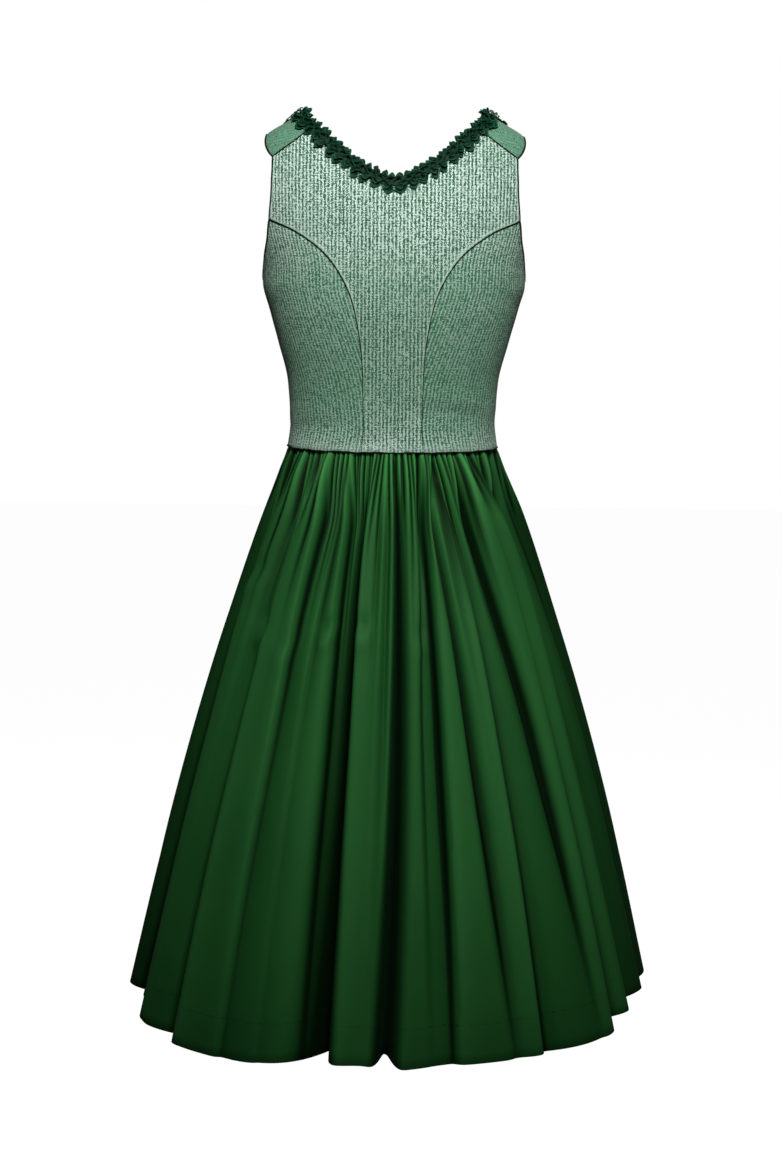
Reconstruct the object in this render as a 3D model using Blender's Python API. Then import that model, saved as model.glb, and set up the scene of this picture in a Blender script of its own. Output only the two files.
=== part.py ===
"""Sleeveless dirndl dress, hollow as worn: a fitted bodice of seven panels and an underlap, a gathered
skirt of three panels, a ruched neck trim and piped seams.

Metres, +Z up.  The back of the dress faces -Y and its front faces +Y, so +X is the wearer's right.
The origin lies midway between the two shoulder straps, at the height where the wearer carries them.
"""

import math

import bmesh
import bpy
import numpy as np

# ---------------------------------------------------------------------------------------------
# Driving dimensions
# ---------------------------------------------------------------------------------------------
WAIST_Z = -0.4065
SKIRT_LENGTH = 0.7205  # upright height from the waist seam to the hem
UNDERARM_Z = -0.195
RIDGE_NECK = (0.114, 0.015)  # neck end of the shoulder ridge: x, z
RIDGE_TIP = (0.162, -0.014)  # outer end of the shoulder ridge: x, z

BODICE_WALL = 0.0015
SKIRT_WALL = 0.0012
UNDERLAP_WALL = 0.0012
SEAM_GAP = 0.0003
EDGE_INSET = SEAM_GAP / 2 + 0.0001  # how far each panel stops short of the line of its seam
MERGE_LENGTH = 0.001  # points closer than this to a cut end are left out

PIPING_RADIUS = 0.0010
WAIST_PIPING_RADIUS = 0.0012
TRIM_HALF_WIDTH = 0.0145
TRIM_RISE = 0.0080
TRIM_SET_BACK = 0.006  # from the cut edge of the neckline to the middle of the trim
TRIM_EASE = 0.0008  # between the trim and the bodice
UNDERLAP_REACH = 0.016  # on each side of the centre front
UNDERLAP_EASE = 0.0008  # between the underlap and the front panels

# Sections of the figure under the bodice.
# A section is a rounded oval: |x/width|^power + |y/depth|^power = 1.
BODY_COLUMNS = ("z", "half_width", "back", "front", "power")
BODY_SECTIONS = (
    (0.015, 0.1140, 0.0440, 0.0440, 2.2),
    (0.003, 0.1350, 0.0530, 0.0530, 2.2),
    (-0.014, 0.1620, 0.0620, 0.0620, 2.2),
    (-0.041, 0.1800, 0.0740, 0.0730, 2.2),
    (-0.070, 0.1870, 0.0850, 0.0840, 2.2),
    (-0.120, 0.1820, 0.0980, 0.1000, 2.2),
    (-0.182, 0.1660, 0.1040, 0.1160, 2.2),
    (-0.198, 0.1660, 0.1036, 0.1190, 2.2),
    (-0.223, 0.1602, 0.1020, 0.1220, 2.2),
    (-0.274, 0.1460, 0.0940, 0.1150, 2.2),
    (-0.325, 0.1337, 0.0850, 0.1040, 2.2),
    (-0.376, 0.1307, 0.0800, 0.0970, 2.2),
    (-0.4065, 0.1340, 0.0830, 0.1000, 2.2),
)
# The cut of the front gives room over the bust: a soft rise on each side.
BUST = {"x": 0.080, "z": -0.230, "rise": 0.018, "across": 0.046, "up": 0.050}

# Sections of the skirt over the crowns of its folds, by the drop below the waist seam.
SKIRT_COLUMNS = ("drop", "half_width", "back", "front")
SKIRT_SECTIONS = (
    (0.000, 0.1340, 0.0830, 0.1000),
    (0.045, 0.1580, 0.1120, 0.1230),
    (0.115, 0.1860, 0.1450, 0.1500),
    (0.217, 0.2200, 0.1820, 0.1830),
    (0.371, 0.2650, 0.2280, 0.2250),
    (0.525, 0.3045, 0.2740, 0.2660),
    (0.7205, 0.3462, 0.3240, 0.3120),
)
SKIRT_POWER = 2.15

# How far the hem dips below its level or rises above it, round the skirt from the centre back.
HEM_COLUMNS = ("angle", "dip")
HEM_LEVELS = (
    (-180, 0.000),
    (-85, 0.002),
    (-60, 0.007),
    (-35, 0.007),
    (-20, 0.001),
    (-8, 0.006),
    (0, 0.006),
    (12, -0.001),
    (45, -0.004),
    (60, -0.006),
    (75, -0.020),
    (100, -0.018),
    (140, 0.000),
    (180, 0.000),
)

# The troughs between the skirt's folds.  Angles are in degrees from the centre back, positive towards +X.
# A trough goes in by its depth at the hem; its lean turns it under the fold beside it.
FOLD_COLUMNS = ("hem_angle", "waist_angle", "depth", "half_span", "lean")
SKIRT_FOLDS = (
    (-163, -160, 0.034, 0.040, 20),
    (-147, -145, 0.056, 0.034, -30),
    (-132, -130, 0.026, 0.044, 0),
    (-116, -113, 0.052, 0.034, 35),
    (-99, -95, 0.040, 0.032, 25),
    (-84, -80, 0.036, 0.028, 35),
    (-70, -70, 0.042, 0.026, 40),
    (-58, -53, 0.050, 0.030, 40),
    (-34, -43, 0.018, 0.036, 0),
    (-11, -17, 0.058, 0.028, -15),
    (-1, 4, 0.062, 0.026, 10),
    (14, 20, 0.020, 0.040, 0),
    (37.5, 37, 0.018, 0.026, -20),
    (48, 44, 0.020, 0.032, 0),
    (59, 57, 0.046, 0.026, -40),
    (66, 68, 0.040, 0.024, -40),
    (81, 79, 0.034, 0.028, -30),
    (98, 95, 0.040, 0.032, -20),
    (115, 112, 0.054, 0.034, -35),
    (131, 128, 0.026, 0.044, 0),
    (146, 142, 0.054, 0.034, 30),
    (163, 159, 0.036, 0.040, -20),
    (180, 180, 0.050, 0.030, 0),
)
FOLD_GROWTH = 0.26  # drop over which the troughs open to most of their depth

# Seam lines as (x, z) on the right half of the dress, smoothed between these points.
BACK_PRINCESS = (
    (0.0385, WAIST_Z),
    (0.0372, -0.345),
    (0.0400, -0.280),
    (0.0520, -0.216),
    (0.0780, -0.168),
    (0.1180, -0.135),
    (0.1560, -0.118),
)
BACK_ARMHOLE = ((0.1560, -0.118), (0.1540, -0.090), (0.1530, -0.062), (0.1525, -0.041))
BACK_UNDERARM = ((0.1560, -0.118), (0.1590, -0.143), (0.1630, -0.165))
SHOULDER_SEAM = ((0.1525, -0.041), (0.1270, -0.0225), (0.0975, -0.0010))
BACK_NECK = (
    (0.0975, -0.0010),
    (0.0900, -0.0080),
    (0.0700, -0.0260),
    (0.0500, -0.0420),
    (0.0300, -0.0545),
    (0.0130, -0.0625),
    (0.0000, -0.0645),
)
FRONT_PRINCESS = (
    (0.0560, WAIST_Z),
    (0.0580, -0.345),
    (0.0680, -0.285),
    (0.0810, -0.230),
    (0.1020, -0.172),
    (0.1450, -0.122),
)
FRONT_ARMHOLE = ((0.1450, -0.122), (0.1455, -0.085), (0.1500, -0.048))
FRONT_UNDERARM = ((0.1450, -0.122), (0.1530, -0.146), (0.1620, -0.168))
FRONT_NECK = (
    (0.0000, -0.168),
    (0.0350, -0.160),
    (0.0680, -0.134),
    (0.0920, -0.092),
    (0.1060, -0.042),
)

MATERIALS = {
    "bodice_cloth": ((0.300, 0.420, 0.350), 0.85),
    "shoulder_cloth": ((0.095, 0.245, 0.150), 0.85),
    "skirt_cloth": ((0.020, 0.125, 0.030), 0.45),
    "trim_cloth": ((0.006, 0.055, 0.026), 0.40),
    "piping_cloth": ((0.004, 0.030, 0.012), 0.50),
}


# ---------------------------------------------------------------------------------------------
# Smooth tables and curves
# ---------------------------------------------------------------------------------------------
def smooth_value(at, knots, values):
    """Values read from a table by cubic pieces, whose slopes never overshoot the rows on either side."""
    knots, values, at = (np.asarray(item, float) for item in (knots, values, at))
    span = np.diff(knots)
    rise = np.diff(values) / span
    slope = np.zeros(len(knots))
    slope[0], slope[-1] = rise[0], rise[-1]
    same_way = rise[:-1] * rise[1:] > 0
    mean = 2 * rise[:-1] * rise[1:] / np.where(same_way, rise[:-1] + rise[1:], 1)
    slope[1:-1] = np.where(same_way, mean, 0)
    i = np.clip(np.searchsorted(knots, at, side="right") - 1, 0, len(span) - 1)
    t = np.clip((at - knots[i]) / span[i], 0, 1)
    flat_start = values[i] * (1 + 2 * t) * (1 - t) ** 2 + values[i + 1] * t * t * (3 - 2 * t)
    bend = slope[i] * t * (1 - t) ** 2 - slope[i + 1] * t * t * (1 - t)
    return flat_start + span[i] * bend


def read_table(rows, columns, name, at):
    """One named column of a table, read at values of its first column."""
    rows = sorted(rows)
    return smooth_value(at, [row[0] for row in rows], [row[columns.index(name)] for row in rows])


def spaced_curve(points, count):
    """count points at equal steps along a smooth curve through the given ones."""
    points = np.asarray(points, float)
    ends = np.vstack([2 * points[0] - points[1], points, 2 * points[-1] - points[-2]])
    fine = []
    steps = np.linspace(0, 1, 24, endpoint=False)[:, None]
    for p0, p1, p2, p3 in zip(ends, ends[1:], ends[2:], ends[3:]):
        turn = 2 * p0 - 5 * p1 + 4 * p2 - p3
        cube = 3 * p1 - p0 - 3 * p2 + p3
        fine.append(p1 + 0.5 * steps * ((p2 - p0) + steps * (turn + steps * cube)))
    return even_steps(np.vstack([*fine, points[-1:]]), count)


def even_steps(line, count):
    """count points at equal steps along a polyline."""
    run = np.concatenate([[0], np.cumsum(np.linalg.norm(np.diff(line, axis=0), axis=1))])
    at = np.linspace(0, run[-1], count)
    return np.stack([np.interp(at, run, line[:, axis]) for axis in range(line.shape[1])], axis=1)


# ---------------------------------------------------------------------------------------------
# The surface of the bodice, by polar angle from the centre back and height
# ---------------------------------------------------------------------------------------------
def body_section(z):
    return {name: read_table(BODY_SECTIONS, BODY_COLUMNS, name, z) for name in BODY_COLUMNS[1:]}


def oval_radius(angle, width, depth, power):
    across = np.abs(np.sin(angle) / width) ** power
    along = np.abs(np.cos(angle) / depth) ** power
    return (across + along) ** (-1 / power)


def bodice_point(angle, z):
    """Points of the middle of the bodice's cloth."""
    angle, z = np.broadcast_arrays(np.asarray(angle, float), np.asarray(z, float))
    section = body_section(z)
    depth = np.where(np.cos(angle) > 0, section["back"], section["front"])
    radius = oval_radius(angle, section["half_width"], depth, section["power"])
    x, y = radius * np.sin(angle), -radius * np.cos(angle)
    away = ((np.abs(x) - BUST["x"]) / BUST["across"]) ** 2 + ((z - BUST["z"]) / BUST["up"]) ** 2
    facing = np.clip(y / section["front"], 0, 1)
    return np.stack([x, y + BUST["rise"] * facing * np.exp(-away), z], axis=-1)


def polar(points, front=False):
    """(angle, z) of outline points given as (x, z) on the back or the front."""
    points = np.asarray(points, float)
    x, z = points[:, 0], points[:, 1]
    section = body_section(z)
    depth = section["front" if front else "back"]
    inside = np.clip(1 - np.abs(x / section["half_width"]) ** section["power"], 0, 1)
    y = depth * inside ** (1 / section["power"]) * (1 if front else -1)
    return np.stack([np.arctan2(x, -y), z], axis=1)


SIDE = math.pi / 2
RIDGE_NECK_POLAR = np.array([[SIDE, RIDGE_NECK[1]]])
RIDGE_TIP_POLAR = np.array([[SIDE, RIDGE_TIP[1]]])
UNDERARM_POLAR = np.array([[SIDE, UNDERARM_Z]])


def on_body(outline, count):
    """count (angle, z) pairs at equal steps on the cloth along a smooth outline given as (angle, z)."""
    weight = np.array([0.15, 1.0])  # so that a step in angle counts as a step on the cloth does
    fine = spaced_curve(outline * weight, 400) / weight
    spots = bodice_point(fine[:, 0], fine[:, 1])
    run = np.concatenate([[0], np.cumsum(np.linalg.norm(np.diff(spots, axis=0), axis=1))])
    at = np.linspace(0, run[-1], count)
    return np.stack([np.interp(at, run, fine[:, axis]) for axis in range(2)], axis=1)


def seams(steps):
    """Every seam and edge of the right half, as (angle, z) lines; steps scales how many points each has."""
    def line(outline, count):
        return on_body(outline, count * steps + 1)

    waist_angle = polar(BACK_PRINCESS[:1])[0, 0]
    front_angle = polar(FRONT_PRINCESS[:1], front=True)[0, 0]

    def waist(start, end, count):
        angles = np.linspace(start, end, count * steps + 1)
        return np.stack([angles, np.full_like(angles, WAIST_Z)], axis=1)

    return {
        "back_princess": line(polar(BACK_PRINCESS), 12),
        "back_armhole": line(polar(BACK_ARMHOLE), 4),
        "back_underarm": line(np.vstack([polar(BACK_UNDERARM), UNDERARM_POLAR]), 5),
        "shoulder": line(polar(SHOULDER_SEAM), 4),
        "back_neck": line(polar(BACK_NECK), 5),
        "front_princess": line(polar(FRONT_PRINCESS, True), 12),
        "front_armhole": line(np.vstack([
            polar(FRONT_ARMHOLE, True), RIDGE_TIP_POLAR, polar(BACK_ARMHOLE[-1:]),
        ]), 10),
        "front_underarm": line(np.vstack([polar(FRONT_UNDERARM, True), UNDERARM_POLAR]), 5),
        "front_neck": line(np.vstack([
            polar(FRONT_NECK, True), RIDGE_NECK_POLAR, polar(BACK_NECK[:1]),
        ]), 13),
        "side": line(np.array([[SIDE, WAIST_Z], [SIDE, UNDERARM_Z]]), 12),
        "centre_front": line(np.array([[math.pi, WAIST_Z], [math.pi, FRONT_NECK[0][1]]]), 9),
        "back_waist": waist(-waist_angle, waist_angle, 18),
        "side_back_waist": waist(waist_angle, SIDE, 5),
        "side_front_waist": waist(front_angle, SIDE, 5),
        "front_waist": waist(math.pi, front_angle, 4),
    }


def patch(bottom, top, left, right):
    """A grid of (angle, z) filling four edges; rows run from bottom to top, columns from left to right."""
    u = np.linspace(0, 1, len(bottom))[None, :, None]
    v = np.linspace(0, 1, len(left))[:, None, None]
    across = (1 - v) * bottom[None] + v * top[None]
    upward = (1 - u) * left[:, None] + u * right[:, None]
    corners = (
        (1 - v) * ((1 - u) * bottom[0] + u * bottom[-1]) + v * ((1 - u) * top[0] + u * top[-1])
    )
    return across + upward - corners


def mirrored(line):
    return line * np.array([-1, 1])


def panel_grids(steps):
    """The (angle, z) grid of each panel of the bodice."""
    s = seams(steps)
    right_side = np.vstack([s["back_princess"], s["back_armhole"][1:]])
    neck_half = np.vstack([s["shoulder"], s["back_neck"][1:]])
    top = np.vstack([mirrored(neck_half), neck_half[::-1][1:]])
    front_outer = np.vstack([s["front_princess"], s["front_armhole"][1:]])
    front_inner = np.vstack([s["centre_front"], s["front_neck"][1:]])
    right = {
        "side_back": patch(s["side_back_waist"], s["back_underarm"], s["back_princess"], s["side"]),
        "side_front": patch(s["side_front_waist"], s["front_underarm"], s["front_princess"], s["side"]),
        "front": patch(s["front_waist"], s["shoulder"][::-1], front_inner, front_outer),
    }
    grids = {"back_centre": patch(s["back_waist"], top, mirrored(right_side), right_side)}
    for name, grid in right.items():
        grids[name + "_right"] = grid
        grids[name + "_left"] = mirrored(grid)
    return grids


# ---------------------------------------------------------------------------------------------
# The surface of the skirt
# ---------------------------------------------------------------------------------------------
def fold_table(name):
    return np.array([row[FOLD_COLUMNS.index(name)] for row in SKIRT_FOLDS], float)


def skirt_point(angle, drop):
    """Points of the middle of the skirt's cloth, by angle round the waist seam and drop below it."""
    angle, drop = np.broadcast_arrays(np.asarray(angle, float), np.asarray(drop, float))
    hem, waist = (np.radians(fold_table(key)) for key in ("hem_angle", "waist_angle"))
    share = np.clip(drop / SKIRT_LENGTH, 0, 1)
    knots_hem = np.concatenate([[hem[-1] - 2 * math.pi], hem])
    knots_waist = np.concatenate([[waist[-1] - 2 * math.pi], waist])
    turned = angle + share * (np.interp(angle, knots_waist, knots_hem) - angle)
    section = {
        name: read_table(SKIRT_SECTIONS, SKIRT_COLUMNS, name, drop) for name in SKIRT_COLUMNS[1:]
    }
    depth = np.where(np.cos(turned) > 0, section["back"], section["front"])
    radius = oval_radius(turned, section["half_width"], depth, SKIRT_POWER)
    opened = 1 - np.exp(-((drop / FOLD_GROWTH) ** 1.4))
    inward = np.zeros_like(radius)
    sideways = np.zeros_like(radius)
    for at_hem, at_waist, deep, span, lean in zip(
        hem, waist, fold_table("depth"), fold_table("half_span"), np.radians(fold_table("lean"))
    ):
        middle = at_waist + share * (at_hem - at_waist)
        offset = (turned - middle + math.pi) % (2 * math.pi) - math.pi
        away = np.abs(offset) * radius / (span * (0.35 + 0.65 * share))
        trough = deep * opened * np.exp(-(away**1.7))
        inward += trough * math.cos(lean)
        sideways += trough * math.sin(lean)
    outward = np.stack([np.sin(turned), -np.cos(turned)], axis=-1)
    along = np.stack([np.cos(turned), np.sin(turned)], axis=-1)
    level = outward * (radius - inward)[..., None] + along * sideways[..., None]
    dip = share**2 * read_table(HEM_LEVELS, HEM_COLUMNS, "dip", np.degrees(angle))
    return np.concatenate([level, (WAIST_Z - drop - dip)[..., None]], axis=-1)


SKIRT_DROPS = (0.0006, 0.030, 0.075, 0.140, 0.230, 0.350, 0.510, SKIRT_LENGTH)
SKIRT_COLUMN_COUNT = 132
SKIRT_PANELS = {  # name: first and last column, counted from the centre front round by the wearer's left
    "skirt_front_left": (0, SKIRT_COLUMN_COUNT // 4),
    "skirt_back": (SKIRT_COLUMN_COUNT // 4, 3 * SKIRT_COLUMN_COUNT // 4),
    "skirt_front_right": (3 * SKIRT_COLUMN_COUNT // 4, SKIRT_COLUMN_COUNT),
}


# ---------------------------------------------------------------------------------------------
# Cloth walls and cords
# ---------------------------------------------------------------------------------------------
def grid_normals(grid):
    across = np.gradient(grid, axis=1)
    upward = np.gradient(grid, axis=0)
    normal = np.cross(across, upward)
    return normal / np.linalg.norm(normal, axis=-1, keepdims=True)


def drawn_in(grid, inset):
    """The grid with each of its four edges moved towards the inside by the inset."""
    grid = grid.copy()
    for edge, inner in ((0, 1), (-1, -2)):
        for view in (grid, grid.swapaxes(0, 1)):
            step = view[inner] - view[edge]
            view[edge] += step * (inset / np.linalg.norm(step, axis=-1, keepdims=True))
    return grid


def wall_faces(rows, columns):
    """Faces of a closed wall over a grid: outer side, inner side and the rim round both."""
    def corner(layer, row, column):
        return (layer * rows + row) * columns + column

    faces = []
    for row in range(rows - 1):
        for column in range(columns - 1):
            loop = [(row, column), (row, column + 1), (row + 1, column + 1), (row + 1, column)]
            for half in (loop[:3], [loop[0], *loop[2:]]):
                faces.append([corner(0, *spot) for spot in half])
                faces.append([corner(1, *spot) for spot in reversed(half)])
    rim = [(0, column) for column in range(columns)]
    rim += [(row, columns - 1) for row in range(1, rows)]
    rim += [(rows - 1, column) for column in range(columns - 2, -1, -1)]
    rim += [(row, 0) for row in range(rows - 2, 0, -1)]
    for here, after in zip(rim, rim[1:] + rim[:1]):
        faces.append([corner(0, *after), corner(0, *here), corner(1, *here), corner(1, *after)])
    return faces


def add_object(name, points, faces, material):
    mesh = bpy.data.meshes.new(name)
    mesh.from_pydata([tuple(point) for point in points], [], faces)
    build = bmesh.new()
    build.from_mesh(mesh)
    bmesh.ops.recalc_face_normals(build, faces=build.faces)
    build.to_mesh(mesh)
    build.free()
    mesh.shade_smooth()
    mesh.set_sharp_from_angle(angle=math.radians(50))
    mesh.materials.append(bpy.data.materials[material])
    thing = bpy.data.objects.new(name, mesh)
    bpy.context.scene.collection.objects.link(thing)
    return thing


def add_wall(name, grid, thickness, material, normals=None):
    """A cloth wall with the grid at the middle of its thickness."""
    grid = drawn_in(grid, EDGE_INSET)
    offset = (grid_normals(grid) if normals is None else normals) * thickness / 2
    points = np.concatenate([(grid + offset).reshape(-1, 3), (grid - offset).reshape(-1, 3)])
    return add_object(name, points, wall_faces(*grid.shape[:2]), material)


def add_band(name, line, along, outward, half_width, rise, sides, material):
    """A strip with a domed top swept along a line; outward is the normal of the cloth that it lies on."""
    sideways = np.cross(along, outward)
    sideways /= np.linalg.norm(sideways, axis=1, keepdims=True)
    outward = np.cross(sideways, along)
    turns = np.linspace(0, 2 * math.pi, sides, endpoint=False)
    rings = [
        line + sideways * (half_width * math.cos(turn)) + outward * (rise / 2 * (1 + math.sin(turn)))
        for turn in turns
    ]
    points = np.stack(rings, axis=1).reshape(-1, 3)
    faces = [
        [step * sides + side, step * sides + (side + 1) % sides,
         (step + 1) * sides + (side + 1) % sides, (step + 1) * sides + side]
        for step in range(len(line) - 1)
        for side in range(sides)
    ]
    faces.append(list(range(sides)))
    faces.append([(len(line) - 1) * sides + side for side in range(sides)])
    return add_object(name, points, faces, material)


def cloth_normals(line):
    """Outward normals of the bodice's cloth along an (angle, z) line."""
    angle, z = line[:, 0], line[:, 1]
    turn, climb = 0.004, 0.0008
    above, below = np.minimum(z + climb, BODY_SECTIONS[0][0]), np.maximum(z - climb, BODY_SECTIONS[-1][0])
    across = bodice_point(angle + turn, z) - bodice_point(angle - turn, z)
    upward = bodice_point(angle, above) - bodice_point(angle, below)
    normal = np.cross(across, upward)
    return normal / np.linalg.norm(normal, axis=1, keepdims=True)


def shortened(line, start, end):
    """A polyline cut short by the lengths start and end."""
    run = np.concatenate([[0], np.cumsum(np.linalg.norm(np.diff(line[:, :3], axis=0), axis=1))])
    inside = run[(run > start + MERGE_LENGTH) & (run < run[-1] - end - MERGE_LENGTH)]
    at = np.concatenate([[start], inside, [run[-1] - end]])
    return np.stack([np.interp(at, run, line[:, axis]) for axis in range(line.shape[1])], axis=1)


def add_piping(name, line, radius, start=SEAM_GAP, end=SEAM_GAP):
    """A round cord lying on the cloth along an (angle, z) line, cut short at both ends."""
    normals = cloth_normals(line)
    spots = bodice_point(line[:, 0], line[:, 1]) + normals * (BODICE_WALL / 2 + SEAM_GAP)
    spots, normals = np.hsplit(shortened(np.hstack([spots, normals]), start, end), 2)
    along = np.gradient(spots, axis=0)
    along /= np.linalg.norm(along, axis=1, keepdims=True)
    return add_band(name, spots, along, normals, radius, 2 * radius, 6, "piping_cloth")


# ---------------------------------------------------------------------------------------------
# Sub-parts
# ---------------------------------------------------------------------------------------------
def make_materials():
    for name, (colour, roughness) in MATERIALS.items():
        material = bpy.data.materials.new(name)
        material.use_nodes = True
        shader = material.node_tree.nodes["Principled BSDF"]
        shader.inputs["Base Color"].default_value = (*colour, 1)
        shader.inputs["Roughness"].default_value = roughness
        shader.inputs["Metallic"].default_value = 0


def make_bodice():
    for name, grid in panel_grids(1).items():
        cloth = "shoulder_cloth" if name.startswith("front_") else "bodice_cloth"
        add_wall(name, bodice_point(grid[..., 0], grid[..., 1]), BODICE_WALL, cloth)


def make_underlap():
    """The strip behind the centre-front edges, which carries the hooks and eyes."""
    inward = (BODICE_WALL + UNDERLAP_WALL) / 2 + UNDERLAP_EASE
    rows = len(seams(1)["centre_front"])
    grid = bodice_point(*np.moveaxis(panel_grids(1)["front_right"], -1, 0))
    behind = grid + grid_normals(grid) * inward  # on this panel the grid's normals point into the bodice
    middle, beside = behind[:rows, 0], behind[:rows, 1]
    middle[:, 0] = 0
    step = beside - middle
    edge = middle + step * (UNDERLAP_REACH / np.linalg.norm(step, axis=1, keepdims=True))
    strip = np.stack([edge * np.array([-1, 1, 1]), middle, edge], axis=1)
    add_wall("front_underlap", strip, UNDERLAP_WALL, "shoulder_cloth")


def make_skirt():
    drops = np.array(SKIRT_DROPS)[::-1, None]
    angles = np.linspace(-math.pi, math.pi, SKIRT_COLUMN_COUNT + 1)
    ring = skirt_point(angles[None, :], drops)
    wrapped = np.concatenate([ring[:, -2:-1], ring, ring[:, 1:2]], axis=1)
    normals = grid_normals(wrapped)[:, 1:-1]
    for name, (first, last) in SKIRT_PANELS.items():
        cut = slice(first, last + 1)
        add_wall(name, ring[:, cut], SKIRT_WALL, "skirt_cloth", normals[:, cut])


def neck_edge():
    """(angle, z) along the whole cut neckline, from one side of the centre front round to the other."""
    s = seams(1)
    half = np.vstack([s["front_neck"], s["back_neck"][1:]])
    return np.vstack([half, mirrored(half)[::-1][1:]])


def make_neck_trim():
    line = neck_edge()
    spots, normals = bodice_point(line[:, 0], line[:, 1]), cloth_normals(line)
    across_front = np.array([-1, 1, 1])  # the line goes on past the centre front as its own mirror image
    beyond = np.vstack([spots[1] * across_front, spots, spots[-2] * across_front])
    along = beyond[2:] - beyond[:-2]
    along /= np.linalg.norm(along, axis=1, keepdims=True)
    spots = spots + np.cross(normals, along) * TRIM_SET_BACK + normals * (BODICE_WALL / 2 + TRIM_EASE)
    spots[0, 0], spots[-1, 0] = SEAM_GAP / 2, -SEAM_GAP / 2
    add_band("neck_trim", spots, along, normals, TRIM_HALF_WIDTH, TRIM_RISE, 8, "trim_cloth")


def make_piping():
    s = seams(1)
    whole_armhole = np.vstack([
        s["back_armhole"][::-1], s["back_underarm"][1:],
        s["front_underarm"][::-1][1:], s["front_armhole"][1:],
    ])
    under_trim = TRIM_SET_BACK + TRIM_HALF_WIDTH + PIPING_RADIUS
    at_armhole, at_waist = 3 * PIPING_RADIUS, 3 * WAIST_PIPING_RADIUS
    for side, flip in (("right", np.array), ("left", mirrored)):
        add_piping("princess_piping_" + side, flip(s["back_princess"]), PIPING_RADIUS, at_waist, at_armhole)
        add_piping("shoulder_piping_" + side, flip(s["shoulder"]), PIPING_RADIUS, at_armhole, under_trim)
        add_piping("armhole_piping_" + side, flip(whole_armhole), PIPING_RADIUS)


def make_waist_piping():
    """The cord over the waist seam, from the one side of the centre front round to the other."""
    s = seams(1)
    half = np.vstack([s["front_waist"], s["side_front_waist"][1:], s["side_back_waist"][::-1][1:]])
    line = np.vstack([half, s["back_waist"][::-1][1:], mirrored(half)[::-1][1:]])
    line[:, 1] += WAIST_PIPING_RADIUS
    add_piping("waist_piping", line, WAIST_PIPING_RADIUS)


def clear_scene():
    for thing in list(bpy.data.objects):
        bpy.data.objects.remove(thing)


def main():
    clear_scene()
    make_materials()
    make_bodice()
    make_underlap()
    make_skirt()
    make_neck_trim()
    make_piping()
    make_waist_piping()


main()
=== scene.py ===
"""Looks of the sleeveless dirndl dress: its cloths, pleated neck trim, piping and gathered skirt.

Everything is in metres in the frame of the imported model.  The back of the dress faces -Y.
"""

import math

import bpy
import numpy as np
from mathutils import Matrix


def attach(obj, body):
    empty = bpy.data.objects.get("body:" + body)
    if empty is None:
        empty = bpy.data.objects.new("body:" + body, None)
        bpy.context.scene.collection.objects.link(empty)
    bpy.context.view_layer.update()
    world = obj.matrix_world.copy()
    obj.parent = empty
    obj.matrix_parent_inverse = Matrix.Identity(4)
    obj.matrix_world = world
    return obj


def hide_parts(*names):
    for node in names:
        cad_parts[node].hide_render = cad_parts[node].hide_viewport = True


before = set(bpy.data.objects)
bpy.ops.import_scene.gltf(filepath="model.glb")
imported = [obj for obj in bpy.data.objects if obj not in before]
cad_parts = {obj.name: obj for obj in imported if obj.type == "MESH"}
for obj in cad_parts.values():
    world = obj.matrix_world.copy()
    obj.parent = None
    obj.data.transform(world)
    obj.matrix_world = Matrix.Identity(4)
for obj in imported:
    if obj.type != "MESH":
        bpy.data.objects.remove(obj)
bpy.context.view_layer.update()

# ---------------------------------------------------------------------------------------------
# Driving sizes of the cut: outlines and seams are the solids', and the folds are drawn more finely
# ---------------------------------------------------------------------------------------------
WAIST_Z = -0.4065
SKIRT_LENGTH = 0.7205
UNDERARM_Z = -0.195
RIDGE_NECK_Z = 0.015
RIDGE_TIP_Z = -0.014
TRIM_SET_BACK = 0.006

BODY_COLUMNS = ("z", "half_width", "back", "front")
BODY_POWER = 2.2
BODY_SECTIONS = (
    (0.015, 0.1140, 0.0440, 0.0440),
    (0.003, 0.1350, 0.0530, 0.0530),
    (-0.014, 0.1620, 0.0620, 0.0620),
    (-0.041, 0.1800, 0.0740, 0.0730),
    (-0.070, 0.1870, 0.0850, 0.0840),
    (-0.120, 0.1820, 0.0980, 0.1000),
    (-0.182, 0.1660, 0.1040, 0.1160),
    (-0.198, 0.1660, 0.1036, 0.1190),
    (-0.223, 0.1602, 0.1020, 0.1220),
    (-0.274, 0.1460, 0.0940, 0.1150),
    (-0.325, 0.1337, 0.0850, 0.1040),
    (-0.376, 0.1307, 0.0800, 0.0970),
    (-0.4065, 0.1340, 0.0830, 0.1000),
)
BUST = {"x": 0.080, "z": -0.230, "rise": 0.018, "across": 0.046, "up": 0.050}

SKIRT_COLUMNS = ("drop", "half_width", "back", "front")
SKIRT_SECTIONS = (
    (0.000, 0.1340, 0.0830, 0.1000),
    (0.045, 0.1580, 0.1120, 0.1230),
    (0.115, 0.1860, 0.1450, 0.1500),
    (0.217, 0.2200, 0.1820, 0.1830),
    (0.371, 0.2650, 0.2280, 0.2250),
    (0.525, 0.3045, 0.2740, 0.2660),
    (0.7205, 0.3462, 0.3240, 0.3120),
)
SKIRT_POWER = 2.15
HEM_COLUMNS = ("angle", "dip")
HEM_LEVELS = (
    (-180, 0.000), (-100, -0.008), (-74, -0.013), (-64, 0.006), (-35, 0.007), (-20, 0.001),
    (-13, -0.001), (-6, -0.003), (0, 0.003), (12, -0.002), (45, -0.004), (53, -0.004), (60, -0.016),
    (75, -0.022), (100, -0.018), (140, 0.000), (180, 0.000),
)

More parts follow.
